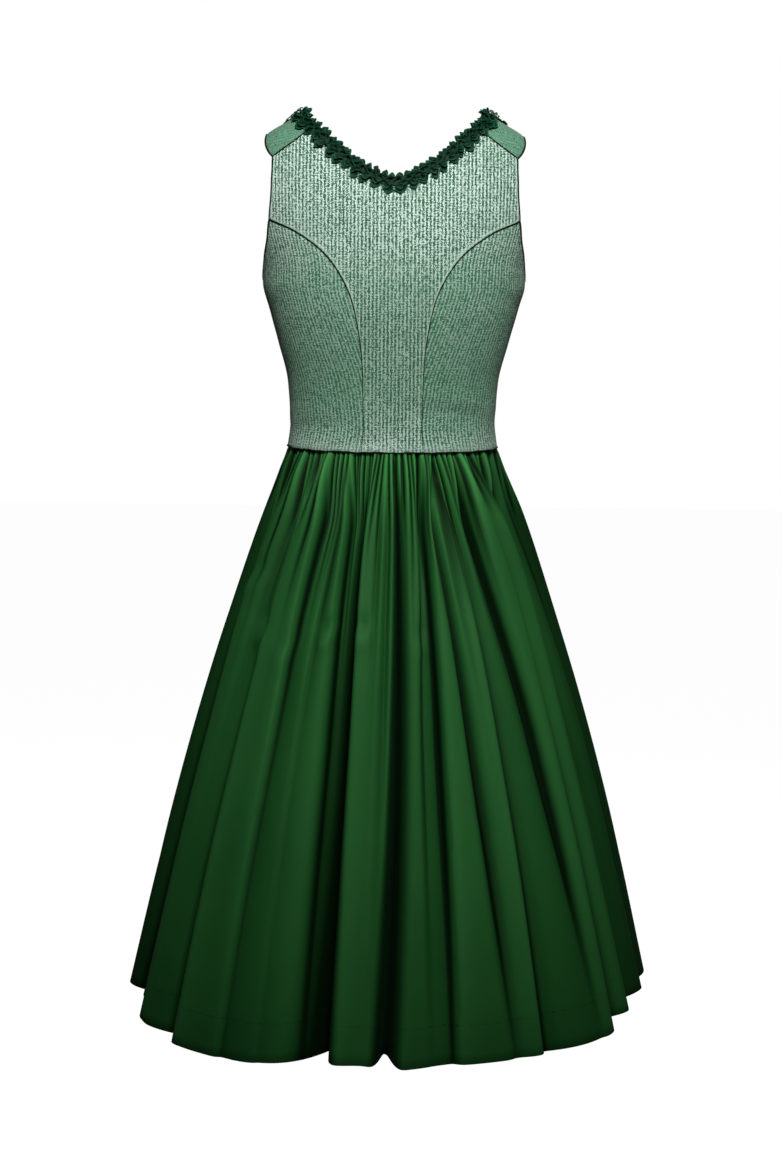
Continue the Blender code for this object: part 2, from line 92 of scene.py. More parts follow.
# The hollows between the skirt's folds, from the centre back towards +X.  Each runs down the cloth through
# the given angles in degrees: at the waist, and at HIGH, MIDDLE and the hem.  deep_... is how far it goes in
# there.  left and right are the widths of its two walls: a narrow wall is the crisp edge of a fold.
FOLD_COLUMNS = (
    "waist", "high", "middle", "hem", "deep_high", "deep_middle", "deep_hem", "left", "right",
)
HIGH, MIDDLE = 0.10, 0.35
SKIRT_FOLDS = (
    (-168, -167, -168, -170, 0.020, 0.036, 0.044, 0.009, 0.014),
    (-156, -155, -156, -158, 0.012, 0.008, 0.003, 0.012, 0.012),
    (-142, -141, -143, -145, 0.018, 0.030, 0.040, 0.022, 0.008),
    (-131, -130, -131, -133, 0.012, 0.010, 0.004, 0.007, 0.022),
    (-118, -116, -115, -117, 0.020, 0.034, 0.042, 0.010, 0.014),
    (-105, -103, -102, -104, 0.016, 0.012, 0.006, 0.010, 0.020),
    (-92, -90, -88, -89, 0.014, 0.026, 0.030, 0.030, 0.008),
    (-82, -78, -75.5, -76.5, 0.012, 0.026, 0.028, 0.030, 0.007),
    (-74, -71.5, -69.3, -69.8, 0.012, 0.024, 0.030, 0.034, 0.007),
    (-63, -60, -60, -60.5, 0.010, 0.002, 0.000, 0.010, 0.008),
    (-56, -53.2, -52.8, -53.2, 0.014, 0.026, 0.030, 0.046, 0.007),
    (-47, -39.5, -37.5, -37, 0.016, 0.010, 0.004, 0.006, 0.022),
    (-38, -31, -29.5, -28, 0.013, 0.004, 0.002, 0.005, 0.014),
    (-34, -24.5, -21.2, -19.2, 0.015, 0.012, 0.000, 0.006, 0.010),
    (-18, -16.2, -15.0, -14.4, 0.028, 0.052, 0.060, 0.022, 0.009),
    (-6, -6.4, -6.5, -7, 0.008, 0.001, 0.000, 0.005, 0.006),
    (-3.5, -2.4, -2.3, -3.5, 0.010, 0.007, 0.001, 0.007, 0.006),
    (4, 3.8, 2.6, -0.6, 0.030, 0.054, 0.062, 0.008, 0.010),
    (20, 15.8, 11.4, 10.5, 0.012, 0.009, 0.001, 0.006, 0.016),
    (24, 18.8, 16.6, 14.2, 0.017, 0.019, 0.007, 0.018, 0.008),
    (32, 26.2, 27, 29, 0.018, 0.017, 0.004, 0.008, 0.012),
    (33.5, 31.5, 32, 32.5, 0.006, 0.001, 0.000, 0.006, 0.006),
    (35, 37, 36.6, 36, 0.013, 0.015, 0.010, 0.005, 0.028),
    (47, 45.5, 49.3, 51.5, 0.020, 0.020, 0.003, 0.016, 0.011),
    (55, 57.2, 57, 57.4, 0.014, 0.022, 0.030, 0.006, 0.024),
    (62, 66.3, 65.6, 66.4, 0.028, 0.034, 0.038, 0.006, 0.048),
    (73, 72, 72, 73, 0.014, 0.004, 0.000, 0.012, 0.012),
    (83, 82, 81.5, 82, 0.018, 0.030, 0.032, 0.008, 0.030),
    (98, 99, 98, 98, 0.014, 0.020, 0.022, 0.007, 0.024),
    (112, 112, 111, 109, 0.018, 0.030, 0.038, 0.008, 0.026),
    (124, 125, 125, 126, 0.012, 0.012, 0.006, 0.020, 0.007),
    (138, 137, 136, 135, 0.020, 0.034, 0.042, 0.014, 0.009),
    (151, 150, 150, 149, 0.012, 0.008, 0.003, 0.012, 0.010),
    (164, 163, 162, 161, 0.018, 0.030, 0.038, 0.008, 0.022),
    (178, 177, 176, 176, 0.014, 0.016, 0.014, 0.014, 0.009),
)
# How the hollows are shaped.  Their steepness goes by the wall's width.  Each is shallow at the waist
# seam, and its walls widen down the cloth.  The lip of a crisp edge leans over it.  Painted shade lies as a
# dark line at its bottom, and beyond the lip is a face with a painted highlight.  Places and widths are
# shares of the narrow wall.
FOLD_STEEPNESS = {"wide": 1.35, "narrow": 2.2, "limit": 0.012}
FOLD_GROWTH = {"start": 0.55, "slope": 0.45, "most": 1.25}
FOLD_WAIST_DEPTH = 0.06
FOLD_CRISP_FROM = 0.010  # the difference of the walls' widths that makes an edge fully crisp
FOLD_LIP = {"place": 1.3, "width": 1.2, "lean": 0.16, "deepest": 0.032}
FOLD_PAINTED_SHADE = {
    "place": 0.3, "width": 0.42, "per_depth": 14, "wall_per_depth": 26, "widest": 0.030, "full_depth": 0.022,
}
FOLD_PAINTED_HIGHLIGHT = {"place": 1.25, "fade": 0.030, "full_depth": 0.014}
HEM_DEPTH = 0.045  # the turned-up hem

# Small folds below the waist seam: how many go round, how deep and wide they are, how far down they reach and
# over what length they begin, how far the cloth between them puffs out, and how dark the painted shade at
# their bottoms is.
GATHERS = {
    "count": 108, "depth": 0.0105, "half_span": 0.0020, "reach": 0.110, "start": 0.0025,
    "puff": 0.0030, "shade": 1.0, "seed": 4,
}
SOFT_FOLDS = {
    "count": 34, "depth": 0.0120, "half_span": 0.0042, "reach": 0.200, "start": 0.0250,
    "puff": 0.0, "shade": 0.40, "seed": 9,
}
SMALL_FOLD_RANGES = {
    "depth": (0.45, 1.15), "reach": (0.40, 1.7), "half_span": (0.75, 1.35), "start": (0.5, 1.6),
}
SMALL_FOLD_STRAY = 0.32  # share of the distance between two
SMALL_FOLD_SPREAD = 2.2  # how much wider one is where it ends
SMALL_FOLD_SHAPE = 1.3
SMALL_FOLD_PAINTED_LINE = {"width": 0.48, "more_at_waist": 0.42, "fade": 0.05, "full_depth": 0.006}
PUFF_START = 0.006

# Small puckers where the cloth of the folds catches, by angle and drop, with their depth and size.
PUCKER_COLUMNS = ("angle", "drop", "depth", "across", "up")
PUCKERS = (
    (-55, 0.212, 0.0075, 0.016, 0.013),
    (-41, 0.228, 0.0028, 0.011, 0.014),
    (-26.5, 0.209, 0.0050, 0.010, 0.010),
    (-10.5, 0.205, 0.0055, 0.008, 0.011),
    (13, 0.214, 0.0045, 0.011, 0.012),
    (-66, 0.150, 0.0030, 0.012, 0.013),
    (118, 0.196, 0.0044, 0.012, 0.013),
    (-125, 0.224, 0.0044, 0.012, 0.013),
    (160, 0.207, 0.0038, 0.010, 0.012),
)
PUCKER_SWELL = {"share": 0.8, "below": 1.7}  # each has a swell under it

# Seam lines as (x, z) on the right half.
BACK_PRINCESS = (
    (0.0385, WAIST_Z), (0.0372, -0.345), (0.0400, -0.280), (0.0520, -0.216), (0.0780, -0.168),
    (0.1180, -0.135), (0.1560, -0.118),
)
BACK_ARMHOLE = ((0.1560, -0.118), (0.1540, -0.090), (0.1530, -0.062), (0.1525, -0.041))
BACK_UNDERARM = ((0.1560, -0.118), (0.1590, -0.143), (0.1630, -0.165))
SHOULDER_SEAM = ((0.1525, -0.041), (0.1270, -0.0225), (0.0975, -0.0010))
BACK_NECK = (
    (0.0975, -0.0010), (0.0900, -0.0080), (0.0700, -0.0260), (0.0500, -0.0420), (0.0300, -0.0545),
    (0.0130, -0.0625), (0.0000, -0.0645),
)
FRONT_PRINCESS = (
    (0.0560, WAIST_Z), (0.0580, -0.345), (0.0680, -0.285), (0.0810, -0.230), (0.1020, -0.172),
    (0.1450, -0.122),
)
FRONT_ARMHOLE = ((0.1450, -0.122), (0.1455, -0.085), (0.1500, -0.048))
FRONT_UNDERARM = ((0.1450, -0.122), (0.1530, -0.146), (0.1620, -0.168))
FRONT_NECK = ((0.0000, -0.168), (0.0350, -0.160), (0.0680, -0.134), (0.0920, -0.092), (0.1060, -0.042))

# Sizes of the visible finish
BODICE_CLOTH = 0.0012
SKIRT_CLOTH = 0.0008
UNDERLAP_REACH = 0.016
PANEL_STEPS = 6
SKIRT_QUARTER = 290  # columns in a quarter of the skirt
SKIRT_ROW_COUNT = 80
ROWS_CROWD = 1.45  # the rows lie closer together towards the waist
COLUMNS_CROWD = 0.030  # and the columns within this angle of a hollow
PIPING = {"seam": 0.0009, "seam_end": 0.0004, "edge": 0.0013, "waist": 0.0008}

# Soft creases of the bodice, as (x, z) of their middles, which way they run, and their sizes.
CREASE_COLUMNS = ("side", "x", "z", "turn", "length", "width", "depth")
CREASES = (
    ("back", -0.085, -0.375, 12, 0.060, 0.010, 0.0016),
    ("back", 0.092, -0.362, -15, 0.052, 0.010, 0.0016),
    ("back", -0.020, -0.392, 4, 0.070, 0.012, 0.0010),
    ("back", 0.030, -0.355, -6, 0.055, 0.013, 0.0009),
    ("back", 0.125, -0.205, -38, 0.045, 0.011, 0.0014),
    ("back", -0.125, -0.212, 36, 0.048, 0.011, 0.0014),
    ("back", 0.060, -0.110, 55, 0.060, 0.018, 0.0010),
    ("back", -0.066, -0.118, -52, 0.055, 0.018, 0.0010),
    ("back", 0.004, -0.235, 82, 0.090, 0.016, 0.0008),
    ("front", -0.080, -0.350, 14, 0.055, 0.011, 0.0014),
    ("front", 0.086, -0.366, -12, 0.060, 0.011, 0.0014),
    ("front", 0.120, -0.170, 48, 0.040, 0.010, 0.0012),
    ("front", -0.118, -0.165, -45, 0.042, 0.010, 0.0012),
    ("front", 0.030, -0.390, -4, 0.050, 0.012, 0.0010),
)
CREASE_SWELL = {"share": 0.55, "beside": 1.5}  # each has a swell along one side


# ---------------------------------------------------------------------------------------------
# Smooth tables and curves
# ---------------------------------------------------------------------------------------------
def smooth_value(at, knots, values):
    """Values read from a table by cubic pieces that never overshoot its rows."""
    knots, values, at = (np.asarray(item, float) for item in (knots, values, at))
    span = np.diff(knots)
    rise = np.diff(values) / span
    slope = np.zeros(len(knots))
    slope[0], slope[-1] = rise[0], rise[-1]
    same_way = rise[:-1] * rise[1:] > 0
    mean = 2 * rise[:-1] * rise[1:] / np.where(same_way, rise[:-1] + rise[1:], 1)
    slope[1:-1] = np.where(same_way, mean, 0)
    i = np.clip(np.searchsorted(knots, at, side="right") - 1, 0, len(span) - 1)
    t = np.clip((at - knots[i]) / span[i], 0, 1)
    level = values[i] * (1 + 2 * t) * (1 - t) ** 2 + values[i + 1] * t * t * (3 - 2 * t)
    bend = slope[i] * t * (1 - t) ** 2 - slope[i + 1] * t * t * (1 - t)
    return level + span[i] * bend


def read_table(rows, columns, name, at):
    """One named column of a table, read at values of its first column."""
    rows = sorted(rows)
    return smooth_value(at, [row[0] for row in rows], [row[columns.index(name)] for row in rows])


def rows_of(columns, table):
    """The rows of a table, each as a dictionary by column name."""
    return [dict(zip(columns, row)) for row in table]


def run_length(line):
    return np.concatenate([[0], np.cumsum(np.linalg.norm(np.diff(line, axis=0), axis=1))])


def read_line(line, run, at):
    return np.stack([np.interp(at, run, line[:, axis]) for axis in range(line.shape[1])], axis=1)


def unit(vectors):
    return vectors / np.maximum(np.linalg.norm(vectors, axis=-1, keepdims=True), 1e-12)


def spaced_curve(points, count):
    """count points at equal steps along a smooth curve through the given ones."""
    points = np.asarray(points, float)
    ends = np.vstack([2 * points[0] - points[1], points, 2 * points[-1] - points[-2]])
    fine = []
    steps = np.linspace(0, 1, 24, endpoint=False)[:, None]
    for p0, p1, p2, p3 in zip(ends, ends[1:], ends[2:], ends[3:]):
        turn = 2 * p0 - 5 * p1 + 4 * p2 - p3
        cube = 3 * p1 - p0 - 3 * p2 + p3
        fine.append(p1 + 0.5 * steps * ((p2 - p0) + steps * (turn + steps * cube)))
    line = np.vstack([*fine, points[-1:]])
    run = run_length(line)
    return read_line(line, run, np.linspace(0, run[-1], count))


# ---------------------------------------------------------------------------------------------
# The surface of the bodice, by polar angle from the centre back and height
# ---------------------------------------------------------------------------------------------
def oval_radius(angle, width, depth, power):
    across = np.abs(np.sin(angle) / width) ** power
    along = np.abs(np.cos(angle) / depth) ** power
    return (across + along) ** (-1 / power)


def bodice_point(angle, z):
    angle, z = np.broadcast_arrays(np.asarray(angle, float), np.asarray(z, float))
    width, back, front = (read_table(BODY_SECTIONS, BODY_COLUMNS, key, z) for key in BODY_COLUMNS[1:])
    depth = np.where(np.cos(angle) > 0, back, front)
    radius = oval_radius(angle, width, depth, BODY_POWER)
    x, y = radius * np.sin(angle), -radius * np.cos(angle)
    away = ((np.abs(x) - BUST["x"]) / BUST["across"]) ** 2 + ((z - BUST["z"]) / BUST["up"]) ** 2
    return np.stack([x, y + BUST["rise"] * np.clip(y / front, 0, 1) * np.exp(-away), z], axis=-1)


def bodice_normal(angle, z):
    turn, climb = 0.004, 0.0008
    level = np.clip(z, BODY_SECTIONS[-1][0] + climb, BODY_SECTIONS[0][0] - climb)
    across = bodice_point(angle + turn, level) - bodice_point(angle - turn, level)
    return unit(np.cross(across, bodice_point(angle, level + climb) - bodice_point(angle, level - climb)))


def polar(points, front=False):
    """(angle, z) of outline points given as (x, z) on the back or the front."""
    points = np.asarray(points, float)
    x, z = points[:, 0], points[:, 1]
    width = read_table(BODY_SECTIONS, BODY_COLUMNS, "half_width", z)
    depth = read_table(BODY_SECTIONS, BODY_COLUMNS, "front" if front else "back", z)
    inside = np.clip(1 - np.abs(x / width) ** BODY_POWER, 0, 1)
    y = depth * inside ** (1 / BODY_POWER) * (1 if front else -1)
    return np.stack([np.arctan2(x, -y), z], axis=1)


SIDE = math.pi / 2


def on_body(outline, count):
    weight = np.array([0.15, 1.0])
    fine = spaced_curve(outline * weight, 400) / weight
    run = run_length(bodice_point(fine[:, 0], fine[:, 1]))
    return read_line(fine, run, np.linspace(0, run[-1], count))


def seams(steps):
    """Every seam and edge of the right half, as (angle, z) lines."""
    def line(outline, count):
        return on_body(outline, count * steps + 1)

    def waist(start, end, count):
        angles = np.linspace(start, end, count * steps + 1)
        return np.stack([angles, np.full_like(angles, WAIST_Z)], axis=1)

    back_angle = polar(BACK_PRINCESS[:1])[0, 0]
    front_angle = polar(FRONT_PRINCESS[:1], front=True)[0, 0]
    ridge_neck, ridge_tip, underarm = ([[SIDE, z]] for z in (RIDGE_NECK_Z, RIDGE_TIP_Z, UNDERARM_Z))
    strap_edge = np.vstack([polar(FRONT_ARMHOLE, True), ridge_tip, polar(BACK_ARMHOLE[-1:])])
    return {
        "back_princess": line(polar(BACK_PRINCESS), 12),
        "back_armhole": line(polar(BACK_ARMHOLE), 4),
        "back_underarm": line(np.vstack([polar(BACK_UNDERARM), underarm]), 5),
        "shoulder": line(polar(SHOULDER_SEAM), 4),
        "back_neck": line(polar(BACK_NECK), 5),
        "front_princess": line(polar(FRONT_PRINCESS, True), 12),
        "front_armhole": line(strap_edge, 10),
        "front_underarm": line(np.vstack([polar(FRONT_UNDERARM, True), underarm]), 5),
        "front_neck": line(np.vstack([polar(FRONT_NECK, True), ridge_neck, polar(BACK_NECK[:1])]), 13),
        "side": line(np.array([[SIDE, WAIST_Z], [SIDE, UNDERARM_Z]]), 12),
        "centre_front": line(np.array([[math.pi, WAIST_Z], [math.pi, FRONT_NECK[0][1]]]), 9),
        "back_waist": waist(-back_angle, back_angle, 18),
        "side_back_waist": waist(back_angle, SIDE, 5),
        "side_front_waist": waist(front_angle, SIDE, 5),
        "front_waist": waist(math.pi, front_angle, 4),
    }


SEAMS = seams(PANEL_STEPS)


def patch(bottom, top, left, right):
    """A grid filling four edges; rows run from bottom to top, columns from left to right."""
    u = np.linspace(0, 1, len(bottom))[None, :, None]
    v = np.linspace(0, 1, len(left))[:, None, None]
    across = (1 - v) * bottom[None] + v * top[None]
    upward = (1 - u) * left[:, None] + u * right[:, None]
    corners = (1 - v) * ((1 - u) * bottom[0] + u * bottom[-1]) + v * ((1 - u) * top[0] + u * top[-1])
    return across + upward - corners


def mirrored(line):
    return line * np.array([-1, 1])


# ---------------------------------------------------------------------------------------------
# The surface of the skirt
# ---------------------------------------------------------------------------------------------
def fold_table(name):
    return np.array([row[FOLD_COLUMNS.index(name)] for row in SKIRT_FOLDS], float)


def wrapped(angle):
    return (angle + math.pi) % (2 * math.pi) - math.pi


FOLD_DROPS = (0.0, HIGH, MIDDLE, SKIRT_LENGTH)
FOLD_PATHS = np.radians([fold_table(key) for key in ("waist", "high", "middle", "hem")])


def fold_paths(drop):
    """The angle of every fold's hollow at each drop: one row for each drop."""
    columns = [smooth_value(drop, FOLD_DROPS, path) for path in FOLD_PATHS.T]
    return np.stack(columns, axis=1)


def turned_angles(angle, paths):
    """Where the cloth's own angles lie, once the folds have drawn it sideways."""
    rows = []
    waist = FOLD_PATHS[0]
    turn = 2 * math.pi
    knots = np.concatenate([[waist[-1] - turn], waist, [waist[0] + turn]])
    for path in paths:
        places = np.concatenate([[path[-1] - turn], path, [path[0] + turn]])
        rows.append(smooth_value(angle, knots, places))
    return np.array(rows)


def mean_radius(drop):
    """About how far the skirt stands from its middle at a drop."""
    return 0.115 + 0.40 * drop


def small_folds(angle, turned, drop, sizes):
    """How far small uneven hollows draw the cloth in, and how dark the painted shade at their bottoms is: 0
    to 1.
    """
    rng = np.random.default_rng(sizes["seed"])
    count = sizes["count"]
    stray = rng.uniform(-SMALL_FOLD_STRAY, SMALL_FOLD_STRAY, count)
    places = wrapped((np.arange(count) + stray) * 2 * math.pi / count)
    depths, reaches, spans, starts = (
        sizes[key] * rng.uniform(low, high, count) for key, (low, high) in SMALL_FOLD_RANGES.items()
    )
    puff = sizes["puff"] * (1 - np.exp(-drop / PUFF_START)) * np.exp(-((drop / sizes["reach"]) ** 2))
    inward = np.zeros_like(turned) - puff
    lines = np.zeros_like(turned)
    line = SMALL_FOLD_PAINTED_LINE
    line_width = line["width"] + line["more_at_waist"] * np.exp(-drop / line["fade"])
    for place, deep, reach, span, begin in zip(places, depths, reaches, spans, starts):
        life = (1 - np.exp(-((drop + 0.0015) / begin))) * np.exp(-((drop / reach) ** 2))
        width = span * (1 + SMALL_FOLD_SPREAD * drop / reach)
        away = np.abs(wrapped(angle - place)) * mean_radius(drop) / width
        inward += deep * life * np.exp(-(away**SMALL_FOLD_SHAPE))
        # painted shade: a dark line along each small fold's bottom
        shade = sizes["shade"] * min(1.0, deep / line["full_depth"])
        lines = np.maximum(lines, shade * life * np.exp(-((away / line_width) ** 2)))
    return inward, lines


def fold_depth(turned, radius, drop, paths):
    """How far the hollows go in and their edges lean over, and the painted highlight and painted shade of the
    cloth there.
    """
    inward, sideways, faces, lines = (np.zeros_like(turned) for _ in range(4))
    high, middle, hem = (fold_table("deep_" + key) for key in ("high", "middle", "hem"))
    depths = np.stack([FOLD_WAIST_DEPTH * high, high, middle, hem])
    least, most = FOLD_GROWTH["start"], FOLD_GROWTH["most"]
    growth = np.clip(least + FOLD_GROWTH["slope"] * drop / MIDDLE, least, most)
    for k, (left, right) in enumerate(zip(fold_table("left"), fold_table("right"))):
        deep = smooth_value(drop, FOLD_DROPS, depths[:, k])
        away = wrapped(turned - paths[:, k : k + 1]) * radius
        wall = np.where(away < 0, left, right)
        power = np.where(wall > FOLD_STEEPNESS["limit"], FOLD_STEEPNESS["wide"], FOLD_STEEPNESS["narrow"])
        inward += deep * np.exp(-((np.abs(away) / (wall * growth)) ** power))

        crisp_side, narrow, wide = np.sign(left - right), min(left, right), max(left, right)
        crisp = min(1.0, abs(left - right) / FOLD_CRISP_FROM)
        edge = away * crisp_side
        lip = np.exp(-(((edge / narrow - FOLD_LIP["place"]) / FOLD_LIP["width"]) ** 2))
        sideways -= crisp_side * crisp * lip * FOLD_LIP["lean"] * np.minimum(deep, FOLD_LIP["deepest"])

        # painted shade: a dark line along the fold's bottom, wider on the wide wall of a deep fold
        dark = (FOLD_PAINTED_SHADE["width"] + FOLD_PAINTED_SHADE["per_depth"] * deep) * narrow * growth
        wall_dark = FOLD_PAINTED_SHADE["wall_per_depth"] * deep * min(wide, FOLD_PAINTED_SHADE["widest"])
        dark = np.where(edge < 0, np.maximum(dark, wall_dark), dark)
        line = np.exp(-(((edge - FOLD_PAINTED_SHADE["place"] * narrow) / dark) ** 2))
        lines = np.maximum(lines, np.clip(deep / FOLD_PAINTED_SHADE["full_depth"], 0, 1) * line)

        # painted highlight on the face beyond a crisp edge's lip
        beyond = edge - FOLD_PAINTED_HIGHLIGHT["place"] * narrow * growth
        lit = np.where(beyond > 0, np.exp(-beyond / FOLD_PAINTED_HIGHLIGHT["fade"]), 0)
        faces = np.maximum(faces, crisp * np.clip(deep / FOLD_PAINTED_HIGHLIGHT["full_depth"], 0, 1) * lit)
    return inward, sideways, faces, lines


def puckers(turned, radius, drop):
    """How far the small puckers draw the cloth in."""
    total = np.zeros_like(turned)
    for row in rows_of(PUCKER_COLUMNS, PUCKERS):
        away = wrapped(turned - math.radians(row["angle"])) * radius / row["across"]
        below = (drop - row["drop"]) / row["up"]
        swell = PUCKER_SWELL["share"] * np.exp(-((below - PUCKER_SWELL["below"]) ** 2))
        total += row["depth"] * np.exp(-(away**2)) * (np.exp(-(below**2)) - swell)
    return total


def skirt_grid(angle, drop):
    """Points of the middle of the skirt's cloth, a row for each drop, a column for each angle at the waist.

    Also the painted highlight of each point beside the crisp edges, and the painted shade in the folds'
    bottoms: 0 to 1.
    """
    paths = fold_paths(drop)
    turned = turned_angles(angle, paths)
    drop = np.broadcast_to(drop[:, None], turned.shape)
    width, back, front = (read_table(SKIRT_SECTIONS, SKIRT_COLUMNS, key, drop) for key in SKIRT_COLUMNS[1:])
    depth = np.where(np.cos(turned) > 0, back, front)
    radius = oval_radius(turned, width, depth, SKIRT_POWER)
    inward, sideways, faces, lines = fold_depth(turned, radius, drop, paths)
    cloth_angle = np.broadcast_to(angle[None, :], turned.shape)
    for sizes in (GATHERS, SOFT_FOLDS):
        depth_there, lines_there = small_folds(cloth_angle, turned, drop, sizes)
        inward += depth_there
        lines = np.maximum(lines, lines_there)
    inward += puckers(turned, radius, drop)
    outward = np.stack([np.sin(turned), -np.cos(turned)], axis=-1)
    along = np.stack([np.cos(turned), np.sin(turned)], axis=-1)
    level = outward * (radius - inward)[..., None] + along * sideways[..., None]
    share = drop / SKIRT_LENGTH
    dip = share**2 * read_table(HEM_LEVELS, HEM_COLUMNS, "dip", np.degrees(wrapped(turned)))
    return np.concatenate([level, (WAIST_Z - drop - dip)[..., None]], axis=-1), faces, lines


# ---------------------------------------------------------------------------------------------
# Mesh making
# ---------------------------------------------------------------------------------------------
def grid_normals(grid):
    return unit(np.cross(np.gradient(grid, axis=1), np.gradient(grid, axis=0)))


def strip_faces(first, second):
    """Quads between two rows of vertex numbers."""
    return np.stack([first[:-1], first[1:], second[1:], second[:-1]], axis=1)


NAME_ENDINGS = {
    "bodice_cloth": "_cloth", "front_cloth": "_cloth", "skirt_cloth": "_cloth", "trim_ribbon": "_ribbon",
    "piping": "_cord",
}
RIM_ROUNDNESS = 0.8  # how far a cloth's rim stands out, as a share of half its thickness


def make_piece(name, points, faces, material, slot, cloth, marks=None):
    """One visible piece, with the cloth's own coordinates as its map 'cloth' and its marks as attributes."""
    title = name + NAME_ENDINGS[slot]
    mesh = bpy.data.meshes.new(title)
    mesh.from_pydata(points.tolist(), [], [list(face) for face in faces])
    mesh.shade_smooth()
    corner = np.empty(len(mesh.loops), np.int32)
    mesh.loops.foreach_get("vertex_index", corner)
    mesh.uv_layers.new(name="cloth").uv.foreach_set("vector", cloth[corner].astype(np.float32).ravel())
    for key, values in (marks or {}).items():
        attribute = mesh.attributes.new(key, "FLOAT", "POINT")
        attribute.data.foreach_set("value", values.astype(np.float32).ravel())
    mesh.materials.append(material)
    piece = bpy.data.objects.new(title, mesh)
    bpy.context.scene.collection.objects.link(piece)
    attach(piece, "root")
    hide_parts(name)
    return piece


def make_shell(name, outer, inner, material, slot, cloth, marks=None):
    """A closed thin shell between two grids, with a rounded rim all round."""
    rows, columns = outer.shape[:2]
    count = rows * columns
    layer = np.arange(count).reshape(rows, columns)
    ring = np.concatenate([layer[0], layer[1:, -1], layer[-1, -2::-1], layer[-2:0:-1, 0]])
    flat_outer, flat_inner = outer.reshape(-1, 3), inner.reshape(-1, 3)
    middle = (flat_outer + flat_inner)[ring] / 2
    inside = np.concatenate([layer[1], layer[1:, -2], layer[-2, -2::-1], layer[-2:0:-1, 1]])
    away = unit(middle - (flat_outer + flat_inner)[inside] / 2)
    half = np.linalg.norm(flat_outer[ring] - flat_inner[ring], axis=1, keepdims=True) / 2
    rim = middle + away * half * RIM_ROUNDNESS
    points = np.concatenate([flat_outer, flat_inner, rim])
    quads = [strip_faces(layer[row], layer[row + 1]) for row in range(rows - 1)]
    outer_faces = np.concatenate(quads)
    inner_faces = outer_faces[:, ::-1] + count
    loop = np.append(ring, ring[0])
    rim_loop = np.append(np.arange(len(ring)), 0) + 2 * count
    rim_faces = np.concatenate([strip_faces(rim_loop, loop), strip_faces(loop + count, rim_loop)])
    faces = np.concatenate([outer_faces, inner_faces, rim_faces])
    turn = np.cross(np.gradient(outer, axis=1), np.gradient(outer, axis=0))
    if np.sum(turn * (outer - inner)) < 0:
        faces = faces[:, ::-1]

    def on_all(values):
        """Values of the grid's points, repeated for both layers and the rim."""
        return np.concatenate([values, values, values[ring]])

    repeated = {key: on_all(values.ravel()) for key, values in (marks or {}).items()}
    return make_piece(name, points, faces, material, slot, on_all(cloth.reshape(-1, 2)), repeated)


def edge_distance(grid):
    """How far each point of a grid is from its bottom, top, left and right edges, along the cloth."""
    right = np.cumsum(np.linalg.norm(np.diff(grid, axis=1, prepend=grid[:, :1]), axis=-1), axis=1)
    up = np.cumsum(np.linalg.norm(np.diff(grid, axis=0, prepend=grid[:1]), axis=-1), axis=0)
    return {"bottom": up, "top": up[-1:] - up, "left": right, "right": right[:, -1:] - right}


CORD_SIDES = 10
CORD_END = np.array([0.0, 0.6, 0.9])  # places of the end's rings, from its tip, as shares of the radius
CORD_TIP = 0.25


def make_cord(name, line, radius, material):
    """A closed cord of the given radii along a line, with rounded ends."""
    radius = np.broadcast_to(np.asarray(radius, float), len(line)).copy()
    along = unit(np.gradient(line, axis=0))
    start = unit(np.cross(along[0], [0.3, 0.5, 0.8]))
    frames = [start]
    for step in range(1, len(line)):
        frames.append(unit(frames[-1] - along[step] * np.dot(frames[-1], along[step])))
    first = np.array(frames)
    second = np.cross(along, first)
    flat = 1 - CORD_END
    reach = np.concatenate([-flat * radius[0], np.zeros(len(line)), flat[::-1] * radius[-1]])
    pick = np.concatenate([[0] * len(flat), np.arange(len(line)), [len(line) - 1] * len(flat)])
    round_end = np.sqrt(1 - flat**2)
    size = np.concatenate([round_end, np.ones(len(line)), round_end[::-1]])
    size[[0, -1]] = CORD_TIP
    centre = line[pick] + along[pick] * reach[:, None]
    shares = np.linspace(0, 1, CORD_SIDES, endpoint=False)
    rings = []
    for turn in 2 * math.pi * shares:
        spoke = first[pick] * math.cos(turn) + second[pick] * math.sin(turn)
        rings.append(centre + spoke * (radius[pick] * size)[:, None])
    points = np.stack(rings, axis=1).reshape(-1, 3)
    layer = np.arange(len(points)).reshape(len(centre), CORD_SIDES)
    closed = np.concatenate([layer, layer[:, :1]], axis=1)
    faces = [face for lower, upper in zip(closed, closed[1:]) for face in strip_faces(lower, upper)]
    faces += [layer[0, ::-1], layer[-1]]
    run = np.repeat(run_length(line)[pick], CORD_SIDES)
    round_it = np.tile(shares * 2 * math.pi * radius.max(), len(centre))
    make_piece(name, points, faces, material, "piping", np.stack([round_it, run], axis=1))


